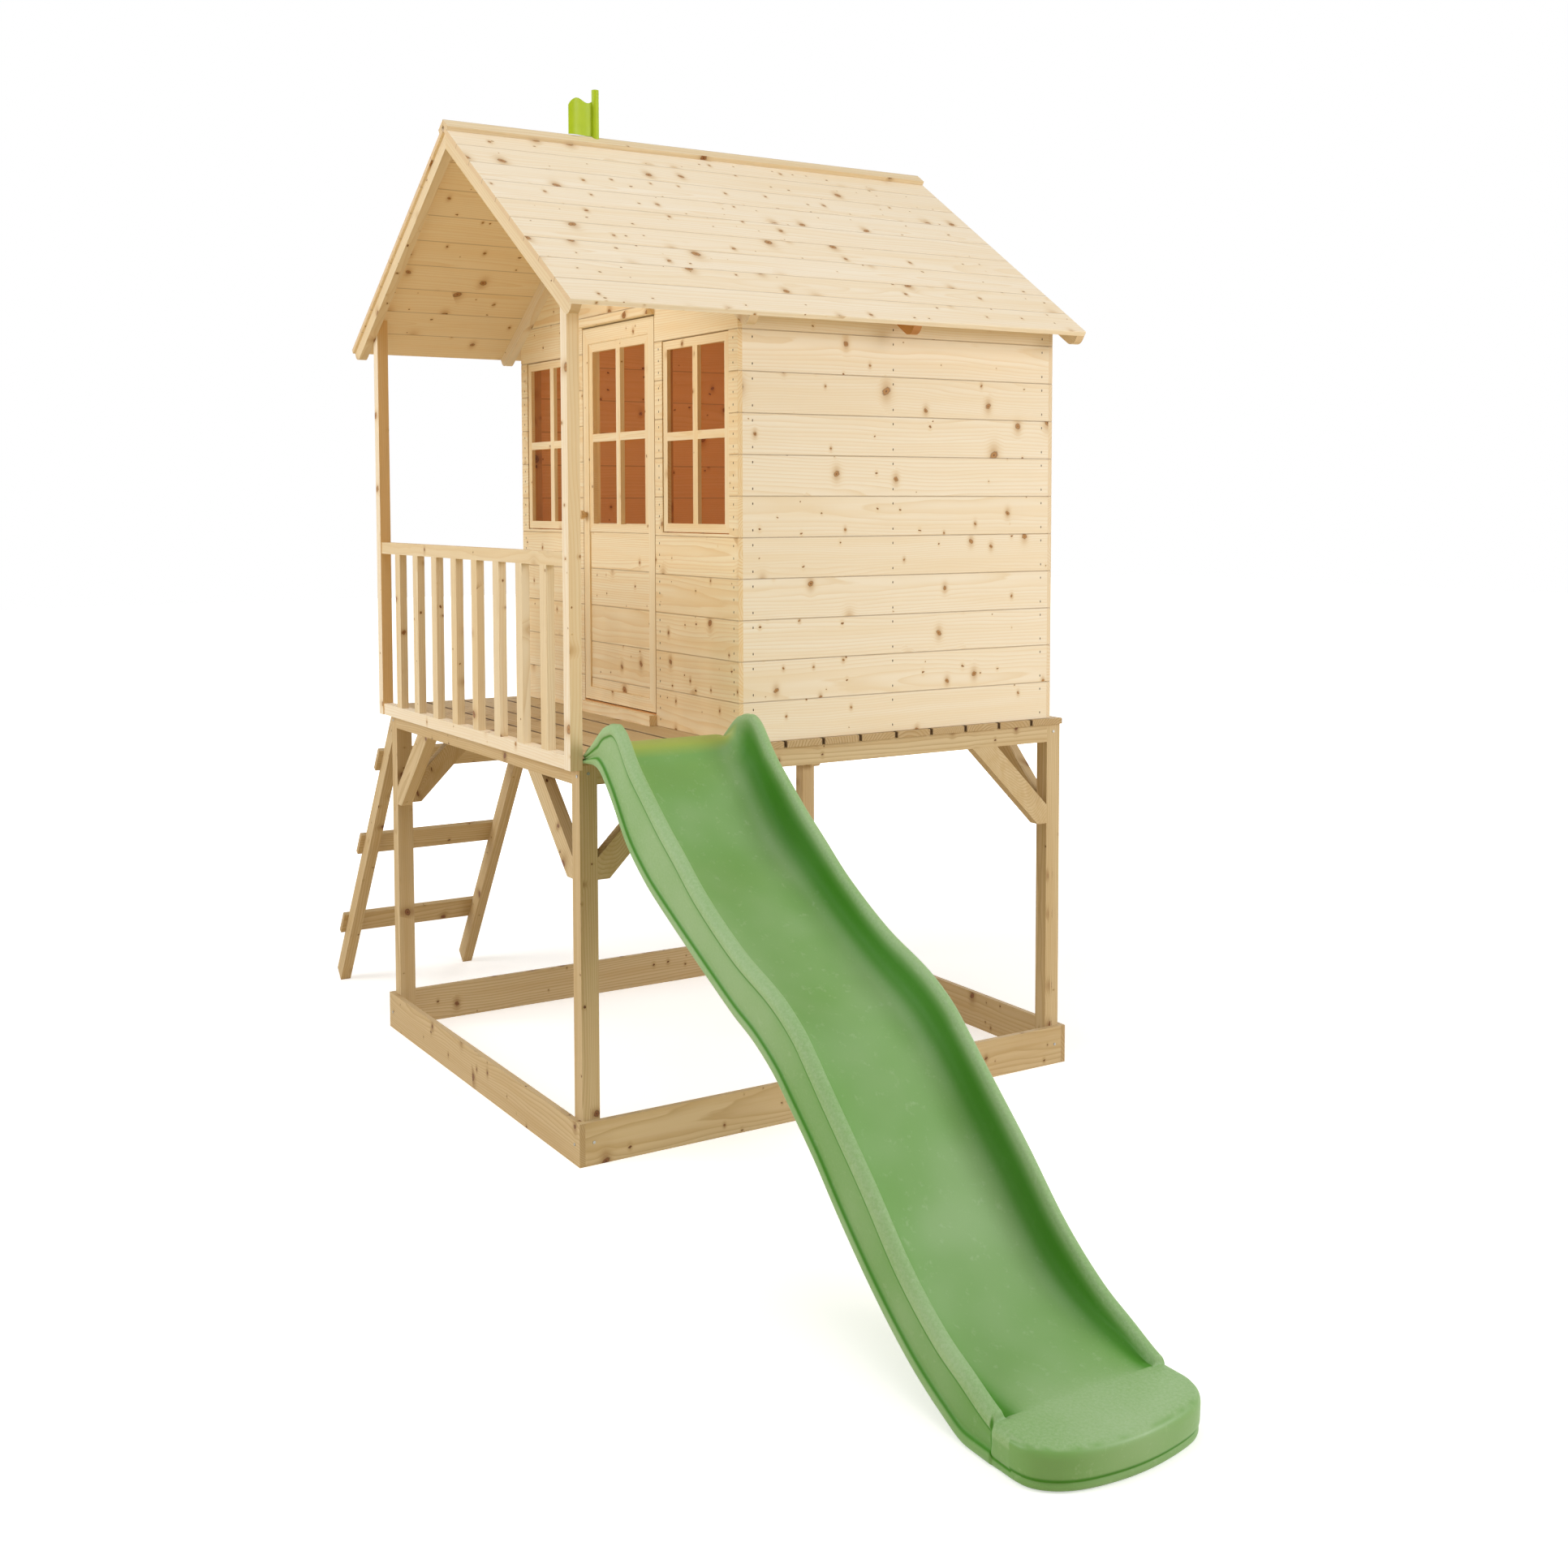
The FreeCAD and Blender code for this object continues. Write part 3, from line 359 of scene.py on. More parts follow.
# members: which way the grain runs in a mitred frame and the bars inside it
def drawMembers(given):
    x, y, z = splitVector(given["Vector"])
    nx, ny, nz = splitVector(given["Normal"])
    fromSide = minus(given["Half Width"], maths("ABSOLUTE", x))
    fromTop = minus(given["Half Height"], maths("ABSOLUTE", y))
    stile = maths("LESS_THAN", fromSide, fromTop)
    inside = maths("GREATER_THAN", maths("MINIMUM", fromSide, fromTop), given["Member"])
    uprightBar = maths("LESS_THAN", maths("ABSOLUTE", x), given["Bar"])
    upright = plus(times(stile, minus(1.0, inside)), times(uprightBar, inside))
    mark = plus(times(upright, memberSteps["upright"]), times(inside, memberSteps["inside"]))
    byPlace = plus(times(maths("SIGN", x), upright), times(maths("SIGN", y), minus(1.0, upright)))
    return {
        "Vector": blendColours(upright, joinVector(x, y, z), joinVector(y, x, z)),
        "Normal": blendColours(upright, joinVector(nx, ny, nz), joinVector(ny, nx, nz)),
        "Side": plus(mark, times(byPlace, memberSteps["place"])),
    }


placed = {"Vector": "Vector", "Normal": "Vector", "Side": "Float"}
fold = newGroup(
    "fold",
    {"Vector": None, "Normal": None, "Middle X": 0.0, "Middle Y": 0.0, "Corner": 0.0}, placed, drawFold,
)
members = newGroup(
    "members",
    {"Vector": None, "Normal": None, "Half Width": 0.2, "Half Height": 0.3, "Member": 0.03, "Bar": 0.016},
    placed, drawMembers,
)


def paints(*steps):
    return {label: colour(*step) for label, step in zip(shades, steps)}


# housefront is a warmer copy of pine and railing a darker one: both hold painted shade for the parts under
# the veranda roof, and railing also dresses the ridge cap and the front rafters; inside is a darker orange
# copy of pine that holds painted shade for the parts inside the house
woods = {
    "pine": paints((243, 232, 213), (228, 204, 165), (236, 216, 183), (176, 128, 72), (96, 58, 28)),
    "golden": paints((233, 205, 160), (212, 172, 117), (219, 178, 121), (160, 105, 60), (92, 54, 30)),
    "inside": paints((214, 160, 100), (190, 132, 76), (200, 142, 82), (142, 88, 46), (80, 44, 24)),
    "housefront": paints((249, 234, 202), (230, 196, 142), (240, 208, 155), (166, 114, 62), (104, 62, 32)),
    "railing": paints((232, 215, 184), (212, 184, 138), (220, 194, 150), (154, 104, 58), (96, 58, 32)),
    "treated": paints((213, 192, 154), (170, 140, 94), (191, 162, 115), (132, 86, 50), (74, 46, 30)),
}


def timberMaterial(name, wood, along, across, centre, cover=1.0, start=None, piece=0.0, knotShare=0.4,
                   knotSize=0.0125, grain=0.85, seam=0.36, folded=None, framed=None, innerSide=0.0,
                   innerTint=(1, 0.84, 0.56, 1), gap=0.0, endTone=0.35):
    # the grain runs along one way and the boards lie side by side across; start is where the first one begins
    material, shader, place = newMaterial(name)
    vector, normal = place["Object"], place["Normal"]
    pieceNumber = piece
    if folded:
        bend = placeGroup(fold, {"Vector": vector, "Normal": normal, **folded})
        vector, normal = bend["Vector"], bend["Normal"]
        pieceNumber = plus(bend["Side"], piece)
    first = Vector(along).normalized()
    second = Vector(across).normalized()
    axes = Matrix((first, second, first.cross(second)))
    origin = axes @ Vector(centre)
    if not framed:
        origin.y = start if start is not None else origin.y - cover / 2
    turn = axes.to_euler("XYZ")
    vector = newNode("Mapping", {"Vector": vector, "Location": -origin, "Rotation": turn}).outputs["Vector"]
    normal = newNode("Mapping", {"Vector": normal, "Rotation": turn}).outputs["Vector"]
    if framed:
        member = placeGroup(members, {"Vector": vector, "Normal": normal, **framed})
        halfBoard = newNode("Mapping", {"Vector": member["Vector"], "Location": (0, cover / 2, 0)})
        vector, normal = halfBoard.outputs["Vector"], member["Normal"]
        pieceNumber = plus(member["Side"], piece)
    body = placeGroup(timber, {
        "Vector": vector, "Normal": normal, "Piece": pieceNumber, "Cover": cover, "Knots": knotShare,
        "Knot Size": knotSize, "Grain": grain, "Seam": seam, "Inner Side": innerSide, "Inner Tint": innerTint,
        "Gap": gap, "End Tone": endTone, **woods[wood],
    })
    feedAll(shader, {"Base Color": body["Color"], "Roughness": body["Roughness"],
                     "Specular IOR Level": timberLook["shine"]})
    addBump(shader, body["Height"], *timberLook["bump"])
    return material


def boxMiddle(node):
    low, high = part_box(node)
    return (low + high) / 2


def dress(material, *nodes):
    for node in nodes:
        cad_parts[node].material_slots[0].material = material


# where the boards run, and the sizes that the drawing of their grain needs
sizes = {
    "wallCover": 0.125, "roofCover": 0.12499, "roofThickness": 0.016, "roofPitch": math.radians(34.1),
    "ladderRun": 0.731, "ladderRise": 1.15, "rungPitch": 0.4207,
    "deckBoard": 0.13, "deckBoards": 13, "deckGap": 0.0046, "baluster": 0.047, "balusters": 8,
    "doorLowBoard": 0.033, "doorBoards": 4, "studPitch": 0.572, "studStart": 0.261,
}
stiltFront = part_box("stilt_post_front_right")[0].y
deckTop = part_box("deck_boards")[1].z
houseMiddle = boxMiddle("front_gable_boards").x
roofPitch = sizes["roofPitch"]
roofRise = sizes["roofThickness"] / math.cos(roofPitch)
roofApex = Vector((houseMiddle, 0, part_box("roof_boards_right")[1].z - roofRise))
slopeDown = (math.cos(roofPitch), 0, -math.sin(roofPitch))
slopeDownLeft = (-math.cos(roofPitch), 0, -math.sin(roofPitch))
ladderLean = Vector((sizes["ladderRun"], 0, sizes["ladderRise"])).normalized()
deckLow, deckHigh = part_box("deck_boards")
deckPitch = (deckHigh.y - deckLow.y - sizes["deckBoard"]) / (sizes["deckBoards"] - 1)
balusterLow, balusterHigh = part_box("balusters")
balusterPitch = (balusterHigh.x - balusterLow.x - sizes["baluster"]) / (sizes["balusters"] - 1)
doorBoardLow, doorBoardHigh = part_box("door_boards")
doorCover = (doorBoardHigh.z - doorBoardLow.z - sizes["doorLowBoard"]) / sizes["doorBoards"]

alongX = (1, 0, 0)
alongY = (0, 1, 0)
alongZ = (0, 0, 1)
levelX = {"along": alongX, "across": alongZ}
levelY = {"along": alongY, "across": alongZ}
uprightX = {"along": alongZ, "across": alongX}
uprightY = {"along": alongZ, "across": alongY}
# the inner faces of the wall boards are tinted deep orange as painted shade
wallBoards = {"cover": sizes["wallCover"], "start": deckTop, "innerTint": (1, 0.62, 0.34, 1)}
studs = {"wood": "inside", **uprightY, "cover": sizes["studPitch"], "start": stiltFront + sizes["studStart"]}
ladderRail = {"wood": "treated", "along": ladderLean, "across": alongY}

timberPieces = {
    "right_wall_boards": {"wood": "pine", **levelY, "innerSide": -1, **wallBoards},
    "left_wall_boards": {"wood": "pine", **levelY, "innerSide": 1, **wallBoards},
    "back_wall_boards": {"wood": "pine", **levelX, "innerSide": 1, **wallBoards},
    "ridge_cap": {"wood": "railing", "along": alongY, "across": alongX, "cover": 0.5,
                  "start": houseMiddle - 0.5, "knotShare": 0.15},
    "deck_boards": {"wood": "treated", "along": alongX, "across": alongY, "cover": deckPitch,
                    "start": deckLow.y + sizes["deckBoard"] / 2 - deckPitch / 2, "grain": 1.2, "seam": 0.75,
                    "gap": sizes["deckGap"]},
    "balusters": {"wood": "railing", **uprightX, "cover": balusterPitch,
                  "start": balusterLow.x + sizes["baluster"] / 2 - balusterPitch / 2},
    "top_rail": {"wood": "railing", **levelX},
    "bottom_rail": {"wood": "pine", **levelX},
    # the side of each veranda post that faces +X is tinted darker and warmer as painted shade
    "veranda_post_left": {"wood": "pine", **uprightY, "innerSide": -1, "innerTint": (0.88, 0.7, 0.45, 1)},
    "veranda_post_right": {"wood": "pine", **uprightY, "innerSide": -1, "innerTint": (0.9, 0.8, 0.62, 1)},
    "header_batten": {"wood": "housefront", **levelX},
    "threshold_batten": {"wood": "housefront", **levelX},
    "door_boards": {"wood": "housefront", **levelX, "cover": doorCover,
                    "start": doorBoardLow.z + sizes["doorLowBoard"] - doorCover},
    "door_knob": {"wood": "golden", **levelY, "knotShare": 0.0},
    "right_wall_studs": studs,
    "left_wall_studs": studs,
    "back_wall_stud": {"wood": "inside", **uprightX},
    "ladder_rail_front": ladderRail,
    "ladder_rail_back": ladderRail,
    "ladder_rungs": {"wood": "treated", "along": alongY, "across": ladderLean, "cover": sizes["rungPitch"],
                     "start": boxMiddle("ladder_rungs").dot(ladderLean) - 1.5 * sizes["rungPitch"]},
    "deck_joist": {"wood": "treated", **levelY},
}
for place in ("boards_left", "boards_right", "gable_boards"):
    timberPieces["front_" + place] = {"wood": "housefront", **levelX, "innerSide": -1, **wallBoards}
# the undersides of the roof boards get a light painted shade tint
for side, down, innerSide, knotShare in (("right", slopeDown, 1, 0.55), ("left", slopeDownLeft, -1, 0.5)):
    timberPieces["roof_boards_" + side] = {
        "wood": "pine", "along": alongY, "across": down, "cover": sizes["roofCover"],
        "start": roofApex.dot(Vector(down)), "knotShare": knotShare, "innerSide": innerSide,
        "innerTint": (1, 0.93, 0.78, 1), "endTone": 0.8,
    }
for side, level in (("front", levelX), ("back", levelX), ("left", levelY), ("right", levelY)):
    timberPieces["base_board_" + side] = {"wood": "treated", **level}
    timberPieces["rim_beam_" + side] = {"wood": "treated", **level}
for corner in ("front_left", "front_right", "back_left", "back_right"):
    middle = boxMiddle("stilt_post_" + corner)
    timberPieces["stilt_post_" + corner] = {"wood": "treated", **uprightX}
    timberPieces["braces_" + corner] = {
        "wood": "treated", "along": (1, 0, 1), "across": (1, 0, -1),
        "folded": {"Middle X": middle.x, "Middle Y": middle.y, "Corner": 1.0}, "grain": 0.8,
    }
for place, wood in (("front", "railing"), ("wall", "pine"), ("middle", "inside"), ("back", "pine")):
    timberPieces[place + "_rafters"] = {
        "wood": wood, "along": slopeDown, "across": (math.sin(roofPitch), 0, math.cos(roofPitch)),
        "folded": {"Middle X": houseMiddle, "Middle Y": 0.0, "Corner": 0.0}, "endTone": 0.9,
    }
for node, wood, member, bar in (
    ("door_frame", "housefront", 0.05, 0.4),
    ("doorway_frame", "inside", 0.045, 0.9),
    ("door_window_frame", "housefront", 0.028, 0.0156),
    ("window_frame_left", "housefront", 0.027, 0.0156),
    ("window_frame_right", "housefront", 0.027, 0.0156),
):
    low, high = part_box(node)
    timberPieces[node] = {
        "wood": wood, **levelX, "knotShare": 0.25, "knotSize": 0.008,
        "framed": {"Half Width": (high.x - low.x) / 2, "Half Height": (high.z - low.z) / 2,
                   "Member": member, "Bar": bar},
    }

for number, (node, looks) in enumerate(sorted(timberPieces.items())):
    piece = number * memberSteps["piece"]
    dress(timberMaterial(node, centre=boxMiddle(node), piece=piece, **looks), node)
print("stilt playhouse:", len(timberPieces), "timber pieces dressed")

# moulded plastic: an even colour with slow clouds, satin sheen and a fine skin; painted shade where the marks
# give crease shade, with less sheen there, and a painted reflection on the lip
plasticLook = {
    "speckScale": 420.0, "scuffScale": 38.0, "scratchScale": 130.0,
    "cloudShow": 0.35, "scuffShow": 0.3, "bandShow": 0.62, "creaseShadeShow": 0.85, "lipReflectionShow": 0.75,
    "cloudEdges": (0.35, 0.7), "scuffEdges": (0.56, 0.72), "scratchEdges": (0.2, 0.8, 0.25, 1.0),
    "creaseShadeEdges": (0.05, 0.95),
    "scuffRough": 0.25, "bandRough": 0.12, "sheen": 0.46, "creaseShadeSheen": 0.4,
    "scuffRelief": 1.5, "bump": 0.35,
}


def drawPlasticSkin(given):
    look = plasticLook
    cloud = noise(given["Vector"], given["Cloud Size"])
    speck = noise(given["Vector"], look["speckScale"])
    scuff = noise(given["Vector"], look["scuffScale"], 5.0, 0.7)
    scratches = noise(given["Vector"], look["scratchScale"], 6.0, 0.75)
    band, creaseShade, lip = splitVector(given["Marks"])
    worn = times(ramp(scratches, *look["scratchEdges"]), times(band, look["bandShow"]))
    rough = plus(given["Roughness"], times(minus(scuff, 0.5), look["scuffRough"]))
    return {
        "Color": layered(given["Base"], (
            (times(ramp(cloud, *look["cloudEdges"]), look["cloudShow"]), given["Light"]),
            (times(ramp(scuff, *look["scuffEdges"]), look["scuffShow"]), given["Light"]),
            (worn, given["Light"]),
            # painted shade from the crease marks, and a painted yellowish reflection of the wood from the lip
            # marks
            (times(ramp(creaseShade, *look["creaseShadeEdges"]), look["creaseShadeShow"]), given["Crease Shade"]),
            (times(lip, look["lipReflectionShow"]), given["Lip Reflection"]),
        )),
        "Roughness": plus(rough, times(band, look["bandRough"])),
        "Sheen": minus(look["sheen"], times(creaseShade, look["creaseShadeSheen"])),
        "Height": plus(speck, times(scuff, look["scuffRelief"])),
    }


plasticSkin = newGroup(
    "plasticSkin",
    {"Vector": None, "Base": black, "Light": black, "Cloud Size": 6.0, "Roughness": 0.4, "Marks": black,
     "Crease Shade": black, "Lip Reflection": black},
    {"Color": "Color", "Roughness": "Float", "Height": "Float", "Sheen": "Float"}, drawPlasticSkin,
)


def plasticMaterial(name, bumpDistance, looks, marks=None):
    material, shader, place = newMaterial(name)
    looks = {"Vector": place["Object"], **looks}
    if marks:
        painted = newNode("Attribute", tree=material.node_tree)
        painted.attribute_name = marks
        looks["Marks"] = painted.outputs["Color"]
    skin = placeGroup(plasticSkin, looks)
    feedAll(shader, {"Base Color": skin["Color"], "Roughness": skin["Roughness"],
                     "Specular IOR Level": skin["Sheen"]})
    addBump(shader, skin["Height"], plasticLook["bump"], bumpDistance)
    return material


# Crease Shade is the colour of painted shade, and Lip Reflection the colour of a painted reflection of the
# warm wood
slidePlastic = plasticMaterial("slide_plastic_skin", 0.0004, {
    "Base": colour(115, 162, 84), "Light": colour(170, 196, 154), "Crease Shade": colour(64, 132, 28),
    "Lip Reflection": colour(166, 182, 84), "Roughness": 0.42, "Cloud Size": 3.0,
}, marks="marks")
flagPlastic = plasticMaterial("flag_plastic_skin", 0.0002, {
    "Base": colour(166, 190, 0), "Light": colour(178, 200, 6), "Crease Shade": colour(150, 170, 0),
    "Lip Reflection": colour(183, 203, 4), "Roughness": 0.5, "Cloud Size": 20.0,
})


steelLook = {"mottleScale": 240.0, "dim": 0.6, "metal": 0.9, "mottleRough": 0.2}
paneLook = {"smearScale": 5.0, "rough": 0.03, "smearRough": 0.06, "alpha": 0.012, "shine": 0.12}


def steelMaterial(name, base, roughness):
    material, shader, place = newMaterial(name)
    mottle = noise(place["Object"], steelLook["mottleScale"], 3.0)
    dim = tuple(steelLook["dim"] * part for part in base[:3]) + (1,)
    feedAll(shader, {"Base Color": blendColours(mottle, base, dim), "Metallic": steelLook["metal"],
                     "Roughness": plus(roughness, times(mottle, steelLook["mottleRough"]))})
    return material


def paneMaterial():
    material, shader, place = newMaterial("clear_pane")
    smear = noise(place["Object"], paneLook["smearScale"], 3.0)
    rough = plus(paneLook["rough"], times(smear, paneLook["smearRough"]))
    feedAll(shader, {"Base Color": colour(236, 240, 238), "Roughness": rough, "Alpha": paneLook["alpha"],
                     "Specular IOR Level": paneLook["shine"]})
    return material


screwSteel = steelMaterial("screw_zinc", colour(188, 186, 180), 0.3)
hingeSteel = steelMaterial("hinge_zinc", colour(200, 199, 195), 0.28)
nailSteel = steelMaterial("nail_dark", colour(88, 70, 54), 0.55)
dress(paneMaterial(), "window_pane_left", "window_pane_right", "door_pane")
dress(screwSteel, "frame_screws", "slide_screws")
dress(hingeSteel, "door_hinges", "jamb_hinges")
dress(flagPlastic, "flag")

# the slide: one moulding with raised wings at the top, rolled rims, a channel and a flat foot; in its
# lines, runs are shares of its reach beyond the deck and heights are shares of the deck's height
slideShape = {
    "lipReach": 0.040, "lipInset": 0.031, "lipLift": 0.0006, "lipBack": 0.0004,
    "lipRuns": (0.0, 0.0025, 0.008, 0.016, 0.026, 0.036),
    "rim": ((0.0, 1.012), (0.0112, 1.024), (0.0505, 1.082), (0.075, 1.099), (0.0932, 1.102),
            (0.1126, 1.084), (0.1475, 1.017), (0.1824, 0.966), (0.2271, 0.904), (0.2707, 0.85),
            (0.329, 0.777), (0.4182, 0.692), (0.5041, 0.634), (0.5526, 0.585), (0.584, 0.537),
            (0.6152, 0.486), (0.6929, 0.361), (0.7584, 0.247), (0.819, 0.168), (0.8675, 0.126),
            (0.9, 0.098), (0.92, 0.086)),
    "underside": ((0.0, 0.989), (0.0364, 0.989), (0.0568, 0.974), (0.0864, 0.9235), (0.1339, 0.826),
                  (0.1805, 0.762), (0.2169, 0.724), (0.3144, 0.636), (0.4119, 0.552), (0.4595, 0.518),
                  (0.5051, 0.472), (0.5405, 0.422), (0.592, 0.345), (0.6327, 0.2756), (0.6725, 0.212),
                  (0.7108, 0.1555), (0.7482, 0.106), (0.7841, 0.065), (0.829, 0.025), (0.8675, 0.0),
                  (1.0, 0.0)),
    "floor": ((-0.0194, 1.003), (-0.017, 1.016), (-0.009, 1.028), (0.004, 1.0345), (0.025, 1.036),
              (0.044, 1.0315), (0.0595, 1.017), (0.0764, 0.99), (0.1155, 0.936), (0.1494, 0.878),
              (0.198, 0.806), (0.2707, 0.735), (0.3484, 0.66), (0.4212, 0.597), (0.4988, 0.535),
              (0.5425, 0.483), (0.5861, 0.416),
              (0.6298, 0.34), (0.6735, 0.269), (0.722, 0.189), (0.7705, 0.13), (0.819, 0.0966),
              (0.8675, 0.082), (0.9, 0.0775), (0.94, 0.0785), (1.0, 0.0765)),
    # the rounded front of the foot, seen from above: shares of the reach and of the width
    "footPlan": ((0.938, 0.0), (0.957, 0.012), (0.973, 0.06), (0.9865, 0.145), (0.9955, 0.27), (1.0, 0.458),
                 (0.997, 0.645), (0.9865, 0.845), (0.972, 0.942), (0.955, 0.988), (0.938, 1.0)),
    # places over the rim from its outer shoulder inwards: (inset from the side, drop below the rim)
    "rimTop": ((0.014, 0.0035), (0.023, 0.0), (0.030, 0.001), (0.0345, 0.004), (0.037, 0.011),
               (0.0395, 0.026)),
    "rimTopFoot": ((0.010, 0.004), (0.018, 0.001), (0.026, 0.0), (0.034, 0.0), (0.040, 0.0), (0.046, 0.0)),
    # places down the side: shoulder, then the crease under the band
    "shoulder": ((0.0065, 0.012), (0.003, 0.024), (0.0045, 0.030), (0.0088, 0.036), (0.0085, 0.041),
                 (0.0065, 0.047)),
    "shoulderFoot": ((0.0045, 0.009), (0.002, 0.016), (0.001, 0.023), (0.001, 0.030), (0.0012, 0.037),
                     (0.0015, 0.044)),
    # places down to the underside, with heights above it: the line over the ledge, then the ledge
    "ledge": ((0.008, 0.044), (0.0095, 0.037), (0.0085, 0.033), (0.003, 0.0305), (0.0004, 0.025),
              (0.0004, 0.012), (0.003, 0.004)),
    "ledgeFoot": ((0.002, 0.034), (0.003, 0.0275), (0.0075, 0.0235), (0.0065, 0.0205), (0.0045, 0.016),
                  (0.0045, 0.010), (0.007, 0.004)),
    "sideRoom": (0.047, 0.048), "floorSink": 0.004,
    # the rounded corner between the rim and the floor of the channel
    "filletStart": 0.0025, "filletWidth": 0.085, "filletHeight": 0.085, "filletShare": 0.82,
    "filletSteps": 6, "filletTurn": 0.3, "channelShares": (0.33, 0.42, 0.5),
    # where the sections stand along the slide
    "firstRuns": (0.0006, 0.004, 0.010), "wingsEnd": 0.27, "wingStep": 0.0075, "slopeStep": 0.0195,
    "rimEnd": 1.872, "endGap": 0.034, "endSteps": (0.012, 0.005, 0.0), "seamWidth": 0.003, "seamDepth": 0.005,
    "footRows": (0.14, 0.34, 0.54, 0.72, 0.86, 0.95, 1.0), "footEdgeFrom": 0.9,
    "weld": 0.00004, "sliver": 0.00001,
}
slideLow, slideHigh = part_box("slide")
slideBack = slideLow.x + slideShape["lipReach"]
slideReach = slideHigh.x - slideBack
slideWidth = slideHigh.y - slideLow.y


def limited(value):
    return min(max(value, 0.0), 1.0)


def smoothLine(points, run):
    # height of a smooth line through the points, at one place along it
    last = len(points) - 1
    spot = 0
    while spot < last - 1 and run > points[spot + 1][0]:
        spot += 1
    here, there = points[spot], points[spot + 1]
    before, after = points[max(spot - 1, 0)], points[min(spot + 2, last)]
    width = there[0] - here[0]
    step = limited((run - here[0]) / width)
    slopeHere = (there[1] - before[1]) / (there[0] - before[0]) * width
    slopeThere = (after[1] - here[1]) / (after[0] - here[0]) * width
    cube, square = step ** 3, step ** 2
    return ((2 * cube - 3 * square + 1) * here[1] + (cube - 2 * square + step) * slopeHere
            + (3 * square - 2 * cube) * there[1] + (cube - square) * slopeThere)


def slideLine(name, run):
    return deckTop * smoothLine(slideShape[name], run / slideReach)


def slant(name, run):
    # how much longer the line is than its run, so that a width square to it keeps its size
    probe = 0.004
    rise = slideLine(name, run + probe) - slideLine(name, run - probe)
    return math.hypot(1.0, rise / (2 * probe))


def blendPairs(first, second, amount):
    return [(a + (c - a) * amount, b + (d - b) * amount) for (a, b), (c, d) in zip(first, second)]


def slideSection(run, foot=0.0, seam=0.0):
    # half of a section as (inset, height): over the top to the middle, and down the side; and the underside
    shape = slideShape
    lip = run < 0
    flat = 1.0 if lip or foot else 0.0
    floorAt = slideLine("floor", run)
    rimAt = floorAt if flat else slideLine("rim", run)
    baseAt = deckTop + shape["lipLift"] if lip else max(slideLine("underside", run), 0.0)
    rimSlant = 1.0 if flat else slant("rim", run)
    baseSlant = 1.0 if flat else slant("underside", run)
    room = min(1.0, (rimAt - baseAt) / (shape["sideRoom"][0] * rimSlant + shape["sideRoom"][1] * baseSlant))
    inset = shape["lipInset"] if lip else 0.0
    lowest = min(floorAt, rimAt) - shape["floorSink"]
    top = []
    for across, drop in blendPairs(shape["rimTop"], shape["rimTopFoot"], flat):
        top.append((inset + across, max(rimAt - drop * rimSlant * room - seam, lowest)))
    wallFoot = max(top[-1][1], floorAt)
    rise = min(shape["filletHeight"] * slant("floor", run), shape["filletShare"] * (wallFoot - floorAt))
    start = top[-1][0] + shape["filletStart"]
    for step in range(shape["filletSteps"]):
        turn = math.radians(90 * (step + shape["filletTurn"]) / shape["filletSteps"])
        across = start + shape["filletWidth"] * (1 - math.cos(turn))
        top.append((across, floorAt + rise * (1 - math.sin(turn))))
    for share in shape["channelShares"]:
        top.append((share * slideWidth, floorAt))
    side = []
    for across, drop in blendPairs(shape["shoulder"], shape["shoulderFoot"], flat):
        side.append((inset + across + seam, rimAt - drop * rimSlant * room))
    ledge = []
    for across, lift in blendPairs(shape["ledge"], shape["ledgeFoot"], foot):
        ledge.append((inset + across, baseAt + lift * baseSlant * room))
    side.append(((side[-1][0] + ledge[0][0]) / 2, (side[-1][1] + ledge[0][1]) / 2))
    side.extend(ledge)
    return top, side, baseAt


def curvedOutline(points, count):
    # evenly spaced places, with their inward normals, along a smooth line through the points
    fine = []
    parts = 16
    for number in range(len(points) - 1):
        before, here = points[max(number - 1, 0)], points[number]
        there, after = points[number + 1], points[min(number + 2, len(points) - 1)]
        for part in range(parts):
            step = part / parts
            fine.append(0.5 * ((2 * here) + (there - before) * step
                               + (2 * before - 5 * here + 4 * there - after) * step ** 2
                               + (3 * here - before - 3 * there + after) * step ** 3))
    fine.append(points[-1])
    lengths = [0.0]
    for here, there in zip(fine, fine[1:]):
        lengths.append(lengths[-1] + (there - here).length)
    found = []
    for number in range(count):
        goal = lengths[-1] * number / (count - 1)
        spot = 0
        while spot < len(fine) - 2 and lengths[spot + 1] < goal:
            spot += 1
        share = (goal - lengths[spot]) / (lengths[spot + 1] - lengths[spot])
        along = (fine[spot + 1] - fine[spot]).normalized()
        found.append((fine[spot].lerp(fine[spot + 1], share), Vector((-along.y, along.x, 0))))
    return found


def slideRing(run, top, side, baseAt):
    # the whole loop of one section: over the top, down the far side, along the underside, up the near side
    spots = top + [(slideWidth - across, height) for across, height in reversed(top[:-1])]
    ring = [Vector((run, across, height)) for across, height in spots]
    ring.extend(Vector((run, slideWidth - across, height)) for across, height in side)
    ring.extend(Vector((run, across, baseAt)) for across, height in reversed(spots))
    ring.extend(Vector((run, across, height)) for across, height in reversed(side))
    return ring


def sectionRuns():
    # where the sections stand: close together over the wings, wider apart down the slope
    shape = slideShape
    runs = list(shape["firstRuns"])
    slopeEnd = shape["rimEnd"] - shape["endGap"]
    for stop, stride in ((shape["wingsEnd"], shape["wingStep"]), (slopeEnd, shape["slopeStep"])):
        while runs[-1] < stop:
            runs.append(runs[-1] + stride)
    return runs + [shape["rimEnd"] - step for step in shape["endSteps"]]


